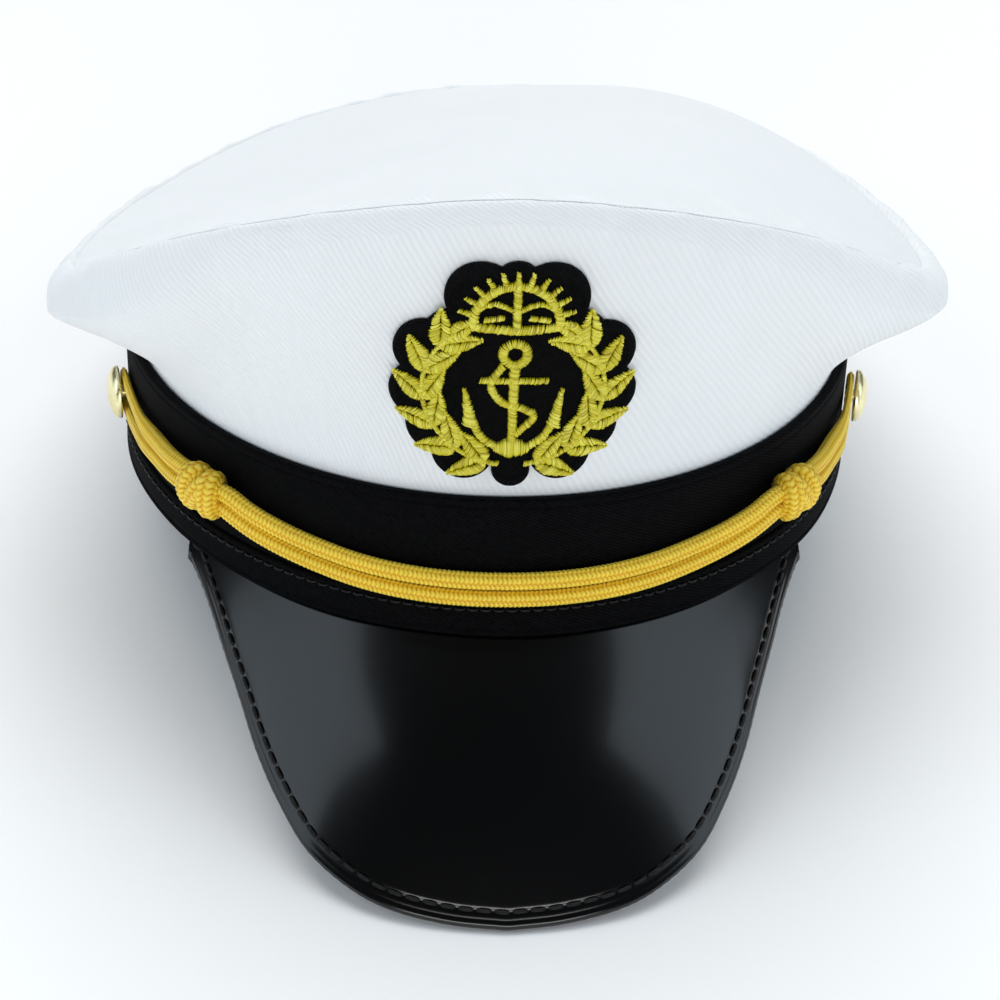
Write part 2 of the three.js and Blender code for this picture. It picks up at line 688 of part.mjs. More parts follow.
function makeCoronet() {
  const arch = (turn) => [0.165 * Math.cos(radians(turn)), 0.235 + 0.175 * Math.sin(radians(turn))];
  const archTurns = [0, 30, 60, 90, 120, 150, 180];
  const rays = 13;
  const ray = (turn) => {
    const [x, z] = arch(turn);
    const way = [Math.cos(radians(turn)), Math.sin(radians(turn))];
    return ribbon([[x, z], [x + 0.045 * way[0], z + 0.045 * way[1]]], 0.022, 0.012, 1);
  };
  const pieces = [
    ribbon(archTurns.map(arch), 0.034, 0.034, 14),
    ribbon([[-0.165, 0.235], [0, 0.22], [0.165, 0.235]], 0.036, 0.036, 6),
    ribbon([[0, 0.22], [0, 0.42]], 0.03, 0.03, 1),
    ribbon([[-0.15, 0.31], [-0.08, 0.335], [0, 0.3]], 0.018, 0.018, 5),
    ribbon([[0, 0.3], [0.08, 0.335], [0.15, 0.31]], 0.018, 0.018, 5),
    ...Array.from({ length: rays }, (_, i) => ray((180 * i) / (rays - 1))),
  ];
  return layOnPanel(fuse(pieces), reliefLift);
}

addPiece("crown_top", makeCrownTop(), whiteTwill);
addPiece("crown_side", makeCrownSide(), whiteTwill);
addPiece("band", makeBand(), blackCloth);
addPiece("band_hem", makeHem(), blackCloth);
const peak = addPiece("peak", makePeak(), patentPeak);
addPiece("badge_patch", makePatch(), badgeFelt);
addPiece("badge_anchor", makeAnchor(), goldThread);
addPiece("badge_wreath_left", makeBranch(-1), goldThread);
addPiece("badge_wreath_right", makeBranch(1), goldThread);
addPiece("badge_coronet", makeCoronet(), goldThread);
addPiece("cord_front_upper", makeCord(frontCordPoints(1, cordInKnot), frontSteps), goldCord);
addPiece("cord_front_lower", makeCord(frontCordPoints(-1, cordInKnot), frontSteps), goldCord);
addPiece("cord_loop_left", makeCord(loopPoints(-1, cordInKnot), loopSteps, loopThickness), goldCord);
addPiece("cord_loop_right", makeCord(loopPoints(1, cordInKnot), loopSteps, loopThickness), goldCord);
addPiece("knot_left", makeKnot(-1), goldCord);
addPiece("knot_right", makeKnot(1), goldCord);
addPiece("button_left", makeButton(-1), brass);
addPiece("button_right", makeButton(1), brass);

// The tilt at which the peak's lowest edge and the back of the hem lie on one table
function restTilt() {
  const back = around(180 - 180 / ringSteps, hemProud, 0);
  const point = new THREE.Vector3();
  let tilt = 0;
  for (let i = 0; i < peak.geometry.attributes.position.count; i += 1) {
    point.fromBufferAttribute(peak.geometry.attributes.position, i);
    tilt = Math.max(tilt, Math.atan2(-point.z, back.y - point.y));
  }
  return tilt;
}

cap.rotation.x = -restTilt();
cap.updateMatrixWorld(true);
const bounds = new THREE.Box3().setFromObject(cap, true);
cap.position.set(-(bounds.min.x + bounds.max.x) / 2, -(bounds.min.y + bounds.max.y) / 2, -bounds.min.z);

const root = new THREE.Group();
root.name = "captain_cap";
root.add(cap);

export default root;
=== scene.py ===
"""A peaked captain's cap: white twill crown, black band, patent peak, gold cord and an embroidered badge."""

import json
import logging
import math
from dataclasses import dataclass, field
from enum import Enum
from typing import NamedTuple, Optional, Sequence

import bmesh
import bpy
import numpy as np
from bpy.types import Material, Node, NodeSocket, NodeTree, Object
from mathutils import Matrix


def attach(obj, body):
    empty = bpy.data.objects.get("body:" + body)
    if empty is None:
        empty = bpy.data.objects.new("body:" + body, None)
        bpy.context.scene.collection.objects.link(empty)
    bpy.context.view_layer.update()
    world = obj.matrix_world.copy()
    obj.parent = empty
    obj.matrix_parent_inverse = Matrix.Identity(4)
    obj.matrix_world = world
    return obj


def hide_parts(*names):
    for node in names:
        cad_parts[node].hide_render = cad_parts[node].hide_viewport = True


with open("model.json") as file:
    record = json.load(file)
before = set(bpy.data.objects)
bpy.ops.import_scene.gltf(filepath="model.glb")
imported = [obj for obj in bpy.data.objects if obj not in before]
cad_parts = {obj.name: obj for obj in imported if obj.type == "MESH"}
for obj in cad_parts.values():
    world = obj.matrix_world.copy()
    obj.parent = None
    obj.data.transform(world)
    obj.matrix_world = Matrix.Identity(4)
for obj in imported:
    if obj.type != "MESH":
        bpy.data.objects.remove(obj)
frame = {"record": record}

LOG = logging.getLogger("captain_cap")
MM = 0.001
UV_PER_MM = 0.01
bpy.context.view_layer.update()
BODY = "root"
NOISE_RANGE = (0.3, 0.8)
Array = np.ndarray
Triple = tuple[float, float, float]
Points = Sequence[Sequence[float]]


def smoothstep(value: Array, low: float, high: float) -> Array:
    """Smooth step from 0 at low to 1 at high.

    Args:
        value: numbers to grade.
        low: where the step starts.
        high: where the step ends.

    Returns:
        Shares from 0 to 1, of the shape of value.
    """
    share = np.clip((np.asarray(value, float) - low) / (high - low), 0, 1)
    return share * share * (3 - 2 * share)


def unit(vectors: Array) -> Array:
    """The vectors at length one, along the last axis."""
    return vectors / np.maximum(np.linalg.norm(vectors, axis=-1, keepdims=True), 1e-12)


def line_lengths(points: Array) -> Array:
    """Running length along a line of points, from 0."""
    return np.concatenate(([0], np.cumsum(np.linalg.norm(np.diff(points, axis=0), axis=1))))


def bezier(corners: Sequence[Array], share: Array) -> Array:
    """A cubic Bezier curve's numbers at each share of its length.

    Args:
        corners: its four control numbers, each an array of the shape of share.
        share: places along the curve, 0 to 1.

    Returns:
        The curve's numbers.
    """
    left = 1 - share
    a, b, c, d = corners
    return a * left**3 + 3 * b * left**2 * share + 3 * c * left * share**2 + d * share**3


def catmull(points: Points, steps: int) -> Array:
    """A smooth curve through points.

    Args:
        points: the points, in any number of dimensions.
        steps: spans that the whole curve is cut into.

    Returns:
        steps + 1 points on the curve, evenly spaced in each span's parameter.
    """
    knots = np.asarray(points, float)
    ends = np.vstack((2 * knots[0] - knots[1], knots, 2 * knots[-1] - knots[-2]))
    at = np.linspace(0, len(knots) - 1, steps + 1)
    i = np.minimum(at.astype(int), len(knots) - 2)
    t = (at - i)[:, None]
    p0, p1, p2, p3 = ends[i], ends[i + 1], ends[i + 2], ends[i + 3]
    return 0.5 * (
        2 * p1 + (p2 - p0) * t + (2 * p0 - 5 * p1 + 4 * p2 - p3) * t**2 + (3 * p1 - p0 - 3 * p2 + p3) * t**3
    )


def even(points: Array, step: float) -> Array:
    """The same curve with its points one step apart.

    Args:
        points: the curve.
        step: distance between the new points.

    Returns:
        The new points, first and last kept.
    """
    lengths = line_lengths(points)
    count = max(2, int(round(lengths[-1] / step)) + 1)
    at = np.linspace(0, lengths[-1], count)
    return np.stack([np.interp(at, lengths, points[:, k]) for k in range(points.shape[1])], axis=1)


class SectionRow(NamedTuple):
    """One section of the crown: its angle, and its bulge and seam as shares of overhang and front height."""

    angle: float
    bulge_reach: float
    bulge_height: float
    seam_reach: float
    seam_height: float


class FoldRow(NamedTuple):
    """One soft fold of the crown's side: where it lies, how far it spreads and how deep it is."""

    angle: float
    spread: float
    height: float
    rise: float
    depth: float


CROWN_SECTIONS = tuple(SectionRow(*row) for row in (
    (-150, 0.4, 0.11, 0.22, 0.17), (-120, 0.36, 0.08, 0.18, 0.135), (-95, 0.55, 0.09, 0.32, 0.185),
    (-72, 0.92, 0.17, 0.56, 0.32), (-55, 0.82, 0.36, 0.56, 0.57), (-38, 0.5, 0.66, 0.36, 0.79),
    (-20, 0.28, 0.85, 0.15, 0.935), (0, 0.2, 0.93, 0.08, 1), (20, 0.28, 0.85, 0.15, 0.935),
    (38, 0.52, 0.66, 0.38, 0.79), (55, 0.88, 0.4, 0.62, 0.57), (72, 1.07, 0.24, 0.7, 0.36),
    (95, 0.84, 0.17, 0.52, 0.27), (135, 0.7, 0.17, 0.44, 0.26), (180, 0.57, 0.145, 0.34, 0.22),
))
CROWN_FOLDS = tuple(FoldRow(*row) for row in (
    (-33, 6, 0.55, 0.3, -1), (-46, 7, 0.5, 0.3, 0.9), (31, 6, 0.5, 0.3, -0.9), (43, 6, 0.55, 0.3, 0.8),
    (58, 6, 0.5, 0.28, -0.9), (-62, 6, 0.55, 0.28, -1.1), (118, 9, 0.5, 0.3, -1), (-125, 9, 0.5, 0.3, -0.9),
    (172, 10, 0.5, 0.3, 0.7),
))


@dataclass(frozen=True)
class ColumnCurve:
    """A smooth closed curve of one column of the section table over the angle round the head."""

    column: str

    def at(self, degrees: Array) -> Array:
        """The column's number at each angle.

        Args:
            degrees: angles round the head, 0 at the front.

        Returns:
            The numbers, of the shape of degrees.
        """
        angles = np.array([row.angle for row in CROWN_SECTIONS], float)
        values = np.array([getattr(row, self.column) for row in CROWN_SECTIONS], float)
        keys = np.concatenate((angles[-2:] - 360, angles, angles[:1] + 360))
        ys = np.concatenate((values[-2:], values, values[:1]))
        slopes = np.zeros(len(keys))
        slopes[1:-1] = (ys[2:] - ys[:-2]) / (keys[2:] - keys[:-2])
        turn = 180 - np.mod(180 - np.asarray(degrees, float), 360)
        i = np.clip(np.searchsorted(keys, turn, side="left") - 1, 1, len(keys) - 3)
        span = keys[i + 1] - keys[i]
        t = (turn - keys[i]) / span
        eased = ys[i] + (ys[i + 1] - ys[i]) * t * t * (3 - 2 * t)
        return eased + span * t * (1 - t) * (slopes[i] * (1 - t) - slopes[i + 1] * t)


@dataclass(frozen=True)
class CapForm:
    """Sizes and curves in the cap's frame, in mm: z is 0 at the band's lower edge, the front is -Y."""

    half_width: float = 87.0
    half_depth: float = 104.5
    band_height: float = 32.0
    band_wall: float = 2.0
    gap: float = 0.3
    crown_wall: float = 1.6
    crown_tuck: float = 4.0
    front_height: float = 66.0
    overhang: float = 20.0
    dome: float = 15.0
    skew: float = 1.1
    tuck_share: float = 1 / 11
    bulge_share: float = 8 / 11
    waves: int = 7
    hem_height: float = 8.0
    button_angle: float = 76.0
    button_z: float = 17.0

    def around(self, degrees: Array, reach: Array, z: Array) -> Array:
        """Points round the head.

        Args:
            degrees: angle, 0 at the front and 90 at +X.
            reach: distance outside the band's outer face.
            z: height above the band's lower edge.

        Returns:
            Points, with one axis more than the widest of the arguments.
        """
        degrees, reach, z = np.broadcast_arrays(np.asarray(degrees, float), reach, z)
        angle = np.radians(degrees)
        return np.stack((
            (self.half_width + reach) * np.sin(angle), -(self.half_depth + reach) * np.cos(angle), z,
        ), axis=-1)

    def outwards(self, degrees: Array) -> Array:
        """The level unit vectors that point away from the band at each angle."""
        angle = np.radians(np.asarray(degrees, float))
        level = (np.sin(angle) / self.half_width, -np.cos(angle) / self.half_depth, 0 * angle)
        return unit(np.stack(level, axis=-1))

    def bulge(self, degrees: Array) -> tuple[Array, Array]:
        """Reach and height of the crown's widest line at each angle."""
        return (
            self.overhang * ColumnCurve("bulge_reach").at(degrees),
            self.band_height + self.front_height * ColumnCurve("bulge_height").at(degrees),
        )

    def seam(self, degrees: Array) -> tuple[Array, Array]:
        """Reach and height of the crown's top seam at each angle."""
        return (
            self.overhang * ColumnCurve("seam_reach").at(degrees),
            self.band_height + self.front_height * ColumnCurve("seam_height").at(degrees),
        )

    def fold(self, degrees: Array, share: Array) -> Array:
        """How far the soft folds push the crown's side out.

        Args:
            degrees: angles round the head.
            share: place between the crown's mouth and its top seam, 0 to 1.

        Returns:
            Distances in millimetres.
        """
        total = np.zeros(np.broadcast(degrees, share).shape)
        for row in CROWN_FOLDS:
            across = (np.mod(degrees - row.angle + 180, 360) - 180) / row.spread
            up = (share - row.height) / row.rise
            total = total + row.depth * np.exp(-(across**2) - up**2)
        return total * smoothstep(share, 0.02, 0.3) * (1 - smoothstep(share, 0.75, 1))

    def crown_line(self, degrees: Array, t: Array) -> tuple[Array, Array]:
        """The line that the crown's side follows at each angle.

        Args:
            degrees: angles round the head.
            t: place on the line: 0 behind the band, tuck_share at the crown's mouth and 1 at the seam.

        Returns:
            Its reach and its height.
        """
        degrees, t = np.broadcast_arrays(np.asarray(degrees, float), np.asarray(t, float))
        base = -self.band_wall - self.gap
        mouth = self.band_height + self.gap
        bulge_x, bulge_z = self.bulge(degrees)
        seam_x, seam_z = self.seam(degrees)
        rise = bulge_z - mouth
        fold = self.fold(degrees, (t - self.tuck_share) / (1 - self.tuck_share))
        tucked = np.clip(t / self.tuck_share, 0, 1)
        low = np.clip((t - self.tuck_share) / (self.bulge_share - self.tuck_share), 0, 1)
        high = np.clip((t - self.bulge_share) / (1 - self.bulge_share), 0, 1)
        out = bulge_x - base
        low_x = bezier((base + 0 * t, base + 0.1 * out, base + 0.8 * out, bulge_x), low)
        low_z = bezier((mouth + 0 * t, mouth + 0.45 * rise, bulge_z - 0.4 * rise, bulge_z), low)
        high_x = bezier((bulge_x, bulge_x, seam_x + 0.55 * (bulge_x - seam_x), seam_x), high)
        high_z = bezier((bulge_z, bulge_z + 0.6 * (seam_z - bulge_z), seam_z, seam_z), high)
        x = np.where(t < self.tuck_share, base, np.where(t < self.bulge_share, low_x + fold, high_x + fold))
        tuck_z = self.band_height - self.crown_tuck + (mouth - self.band_height + self.crown_tuck) * tucked
        return x, np.where(t < self.tuck_share, tuck_z, np.where(t < self.bulge_share, low_z, high_z))

    def crown_top(self, degrees: Array, share: Array) -> Array:
        """The crown's top panel, stretched smoothly over its seam and domed.

        Args:
            degrees: angles round the head.
            share: 0 in the middle and 1 at the seam.

        Returns:
            Points of the shape of degrees, with one axis more.
        """
        ring = np.arange(0, 360, 1.0)
        heights = self.seam(ring)[1]
        seam_x, seam_z = self.seam(degrees)
        stretched = np.zeros(np.broadcast(degrees, share).shape)
        at_edge = np.zeros_like(stretched)
        for wave in range(self.waves):
            scale = (1 if wave == 0 else 2) / len(ring)
            c = scale * np.sum(heights * np.cos(wave * np.radians(ring)))
            s = scale * np.sum(heights * np.sin(wave * np.radians(ring)))
            term = c * np.cos(wave * np.radians(degrees)) + s * np.sin(wave * np.radians(degrees))
            stretched = stretched + term * share**wave
            at_edge = at_edge + term
        rest = (seam_z - at_edge) * share**self.waves
        dome = self.dome * (1 - share**2) * (1 + self.skew * share * np.sin(np.radians(degrees)))
        edge = self.around(degrees, seam_x - self.gap, 0)
        return np.stack((edge[..., 0] * share, edge[..., 1] * share, stretched + rest + dome), axis=-1)


FORM = CapForm()


@dataclass(frozen=True)
class Placement:
    """How the cap's own frame lies in the row frame: tilted back on its peak edge and the rear of its rim."""

    rim_point: Triple = (0.0, 104.1, 0.0)

    def matrix(self) -> Matrix:
        """The matrix from the cap's frame in mm to the row frame in metres, read off the rim mount."""
        mount = next(m for m in frame["record"]["mounts"] if m["name"] == "rim")
        turn = Matrix.Rotation(math.atan2(mount["axis"][1], -mount["axis"][2]), 4, "X") @ Matrix.Scale(MM, 4)
        moved = turn @ Matrix.Translation(self.rim_point)
        place = Matrix.Translation([mount["pos_m"][k] - moved.translation[k] for k in range(3)])
        return place @ turn


PLACE = Placement().matrix()
PLACE_ARRAY = np.array(PLACE)


@dataclass
class MeshParts:
    """Points, faces, face-corner UVs and one number a point, gathered from grids and tubes into one mesh."""

    points: list = field(default_factory=list)
    values: list = field(default_factory=list)
    faces: list = field(default_factory=list)
    uvs: list = field(default_factory=list)
    count: int = 0

    def add(self, points: Array, faces: Array, uvs: Array, values: Array) -> int:
        """Adds points and faces.

        Args:
            points: (n, 3) in the cap's frame.
            faces: (m, 3 or 4) indices into points.
            uvs: (m, 3 or 4, 2) in millimetres of cloth.
            values: (n,) numbers kept as the relief attribute.

        Returns:
            The index of the first new point.
        """
        start = self.count
        self.points.append(points)
        self.values.append(values)
        self.faces.append(faces + start)
        self.uvs.append(uvs)
        self.count += len(points)
        return start

    def grid(
        self, points: Array, uv: Array, values: Optional[Array] = None,
        wrap_rows: bool = False, poles: bool = False, wrap_columns: bool = True,
    ) -> int:
        """Adds a grid of quads.

        Args:
            points: (rows, columns, 3).
            uv: (rows + 1 if wrap_rows, columns + 1 if wrap_columns, 2).
            values: (rows, columns), or None for zeros.
            wrap_rows: whether the last row joins the first.
            poles: whether the first and last rows are each closed with a fan.
            wrap_columns: whether the last column joins the first.

        Returns:
            The index of its first point.
        """
        rows, columns = points.shape[:2]
        i, j = np.meshgrid(
            np.arange(rows if wrap_rows else rows - 1),
            np.arange(columns if wrap_columns else columns - 1), indexing="ij",
        )
        corner = [(i, j), (i, j + 1), (i + 1, j + 1), (i + 1, j)]
        faces = np.stack([(a % rows) * columns + b % columns for a, b in corner], axis=-1).reshape(-1, 4)
        uvs = np.stack([uv[a, b] for a, b in corner], axis=-2).reshape(-1, 4, 2)
        flat = np.zeros((rows, columns)) if values is None else values
        start = self.add(points.reshape(-1, 3), faces, uvs, flat.reshape(-1))
        if poles:
            for row in (0, rows - 1):
                middle = points[row].mean(axis=0)
                around = np.arange(columns)
                ring = start + row * columns + around
                fan = np.stack((ring, start + row * columns + (around + 1) % columns), axis=-1)
                centre = self.add(middle[None], np.zeros((0, 3), int), np.zeros((0, 3, 2)), flat[row][:1])
                fan = np.concatenate((fan, np.full((columns, 1), centre)), axis=1)
                self.faces.append(fan)
                ring_uv = uv[row, :columns]
                next_uv = uv[row, (around + 1) if wrap_columns else (around + 1) % columns]
                self.uvs.append(np.stack((ring_uv, next_uv, (ring_uv + next_uv) / 2), axis=1))
        return start

    def tubes(self, paths: Array, outs: Array, radii: Array, values: Array, sides: int) -> None:
        """Adds many thin tubes of the same number of stations.

        Args:
            paths: (tubes, stations, 3) middle lines.
            outs: (tubes, stations, 3) directions away from the cloth.
            radii: (tubes, stations).
            values: (tubes,) numbers for the relief attribute.
            sides: sides of each tube.
        """
        count, stations = paths.shape[:2]
        along = unit(np.gradient(paths, axis=1))
        out = unit(outs - along * np.sum(outs * along, axis=-1, keepdims=True))
        across = np.cross(along, out)
        turn = np.arange(sides) / sides * 2 * np.pi
        ring = out[:, :, None] * np.cos(turn)[:, None] + across[:, :, None] * np.sin(turn)[:, None]
        points = paths[:, :, None] + ring * radii[:, :, None, None]
        t, s, k = np.meshgrid(np.arange(count), np.arange(stations - 1), np.arange(sides), indexing="ij")
        corner = [(s, k), (s, (k + 1) % sides), (s + 1, (k + 1) % sides), (s + 1, k)]
        faces = np.stack([(t * stations + a) * sides + b for a, b in corner], axis=-1).reshape(-1, 4)
        base = self.add(
            points.reshape(-1, 3), faces, np.zeros((len(faces), 4, 2)), np.repeat(values, stations * sides)
        )
        for station in (0, stations - 1):
            first = base + (np.arange(count) * stations + station) * sides
            spokes = [np.stack((first, first + m, first + m + 1), axis=-1) for m in range(1, sides - 1)]
            fan = np.stack(spokes, axis=1)
            self.faces.append(fan.reshape(-1, 3))
            self.uvs.append(np.zeros((len(fan.reshape(-1, 3)), 3, 2)))

    def build(
        self, name: str, material: Material, slot: str, nodes: Sequence[str] = (), sharp: float = 60,
    ) -> Object:
        """Makes the object in the row frame, dresses it and hands it to the frame.

        Args:
            name: the piece's name.
            material: its finish.
            slot: not used.
            nodes: CAD nodes that it stands for.
            sharp: angle in degrees above which an edge is shaded sharp.

        Returns:
            The object.
        """
        points = np.concatenate(self.points) @ PLACE_ARRAY[:3, :3].T + PLACE_ARRAY[:3, 3]
        loops = np.concatenate([f.reshape(-1) for f in self.faces])
        sizes = np.concatenate([np.full(len(f), f.shape[1]) for f in self.faces])
        mesh = bpy.data.meshes.new(name)
        mesh.vertices.add(len(points))
        mesh.vertices.foreach_set("co", points.reshape(-1))
        mesh.loops.add(len(loops))
        mesh.loops.foreach_set("vertex_index", loops.astype(np.int32))
        mesh.polygons.add(len(sizes))
        mesh.polygons.foreach_set("loop_start", (np.cumsum(sizes) - sizes).astype(np.int32))
        mesh.polygons.foreach_set("use_smooth", np.ones(len(sizes), bool))
        layer = mesh.uv_layers.new(name="UVMap")
        layer.data.foreach_set("uv", np.concatenate([u.reshape(-1) for u in self.uvs]) * UV_PER_MM)
        # The relief attribute picks a yarn's colour; on the knitted cord it carries painted highlight and
        # painted shade, on other threads one tone a thread
        relief = mesh.attributes.new("relief", "FLOAT", "POINT")
        relief.data.foreach_set("value", np.concatenate(self.values))
        mesh.update(calc_edges=True)
        shell = bmesh.new()
        shell.from_mesh(mesh)
        bmesh.ops.recalc_face_normals(shell, faces=shell.faces)
        shell.to_mesh(mesh)
        shell.free()
        mesh.set_sharp_from_angle(angle=math.radians(sharp))
        mesh.materials.append(material)
        piece = bpy.data.objects.new(name, mesh)
        bpy.context.scene.collection.objects.link(piece)
        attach(piece, BODY)
        if nodes:
            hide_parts(*nodes)
        LOG.info("%s: %d faces", name, len(sizes))
        return piece


def arc_lengths(points: Array, axis: int) -> Array:
    """Running length of a grid of points along one axis, from 0, in millimetres."""
    steps = np.linalg.norm(np.diff(points, axis=axis), axis=-1)
    shape = list(steps.shape)
    shape[axis] = 1
    return np.concatenate((np.zeros(shape), np.cumsum(steps, axis=axis)), axis=axis)


def ring_lengths(count: int, radius: float) -> Array:
    """Running length round a circle that is cut into count spans."""
    return np.arange(count + 1) / count * 2 * math.pi * radius


def uv_grid(around: Array, up: Array) -> Array:
    """The (rows, columns, 2) UV of a grid, from its columns' and its rows' running lengths."""
    return np.stack(np.broadcast_arrays(around[None, :], up[:, None]), axis=-1)


def side_word(side: int) -> str:
    """The picture's word for a side: right at +X and left at -X."""
    return "right" if side > 0 else "left"


def ring_angles(count: int) -> Array:
    """Angles evenly round the head, starting at the back so that any cloth join lies there."""
    return np.linspace(-180, 180, count, endpoint=False)


def grid_normals(points: Array, wrap: bool) -> Array:
    """Unit normals of a grid of points, rows running up and columns anticlockwise seen from above.

    Args:
        points: (rows, columns, 3).
        wrap: whether the last column joins the first.

    Returns:
        (rows, columns, 3) normals that point out of the cap.
    """
    up = np.gradient(points, axis=0)
    if wrap:
        along = (np.roll(points, -1, axis=1) - np.roll(points, 1, axis=1)) / 2
    else:
        along = np.gradient(points, axis=1)
    return unit(np.cross(along, up))


class Socket(Enum):
    """Kinds of node-group socket."""

    NUMBER = "NodeSocketFloat"
    VECTOR = "NodeSocketVector"


class Effect(Enum):
    """Effects that several finishes share, each built once as a node group."""

    RIBS = "Woven ribs"
    MOTTLE = "Cloth mottle"
    GRAIN = "Fine grain"


@dataclass
class Tree:
    """Short ways to add and link shader nodes."""

    tree: NodeTree

    def node(self, kind: str, **settings: object) -> Node:
        """A new node with these settings."""
        made = self.tree.nodes.new(kind)
        for name, value in settings.items():
            setattr(made, name, value)
        return made

    def put(self, socket: NodeSocket, value: object) -> None:
        """Links value to the socket if it is a socket, and otherwise sets it as the default."""
        if isinstance(value, NodeSocket):
            self.tree.links.new(value, socket)
        else:
            socket.default_value = value

    def math(self, operation: str, *values: object) -> NodeSocket:
        """A Math node's result.

        Args:
            operation: Blender's name of the operation.
            values: numbers or sockets.

        Returns:
            The output socket.
        """
        made = self.node("ShaderNodeMath", operation=operation)
        for socket, value in zip(made.inputs, values):
            self.put(socket, value)
        return made.outputs[0]

    def scaled(self, value: object, low: float, high: float, to_low: float, to_high: float) -> NodeSocket:
        """A number mapped from one range to another and kept inside it.

        Args:
            value: the number or its socket.
            low: where its own range starts.
            high: where its own range ends.
            to_low: what low becomes.
            to_high: what high becomes.

        Returns:
            The output socket.
        """
        made = self.node("ShaderNodeMapRange", clamp=True)
        names = ("Value", "From Min", "From Max", "To Min", "To Max")
        for name, number in zip(names, (value, low, high, to_low, to_high)):
            self.put(made.inputs[name], number)
        return made.outputs["Result"]

    def noise(self, vector: object, scale: object, detail: float = 2.0) -> NodeSocket:
        """Noise from 0 to 1 over a vector.

        Args:
            vector: the coordinates' socket.
            scale: how fine it is.
            detail: layers of finer noise in it.

        Returns:
            The output socket.
        """
        made = self.node("ShaderNodeTexNoise")
        self.put(made.inputs["Vector"], vector)
        self.put(made.inputs["Scale"], scale)
        made.inputs["Detail"].default_value = detail
        return made.outputs["Fac"]

    def effect(self, effect: "Effect", **inputs: object) -> Node:
        """A node of a shared effect.

        Args:
            effect: which one.
            inputs: its inputs, with _ for a space in a name.

        Returns:
            The group node.
        """
        made = self.node("ShaderNodeGroup")
        made.node_tree = EffectLibrary.group(effect)
        for name, value in inputs.items():
            self.put(made.inputs[name.replace("_", " ")], value)
        return made

    def on_object(self, effect: "Effect", **inputs: object) -> Node:
        """A node of a shared effect over the object's own coordinates."""
        return self.effect(effect, Vector=self.node("ShaderNodeTexCoord").outputs["Object"], **inputs)

    def ramp(self, share: object, stops: Sequence[tuple[float, Triple]]) -> NodeSocket:
        """A colour ramp's colour.

        Args:
            share: the number that picks the colour.
            stops: (place, colour) pairs.

        Returns:
            The colour socket.
        """
        made = self.node("ShaderNodeValToRGB")
        elements = made.color_ramp.elements
        while len(elements) < len(stops):
            elements.new(0.5)
        for element, (place, colour) in zip(elements, stops):
            element.position = place
            element.color = (*colour, 1)
        self.put(made.inputs["Fac"], share)
        return made.outputs["Color"]

    def tinted(self, colour: object, share: object) -> NodeSocket:
        """A colour times a grey share."""
        made = self.node("ShaderNodeVectorMath", operation="SCALE")
        self.put(made.inputs[0], colour)
        self.put(made.inputs["Scale"], share)
        return made.outputs[0]


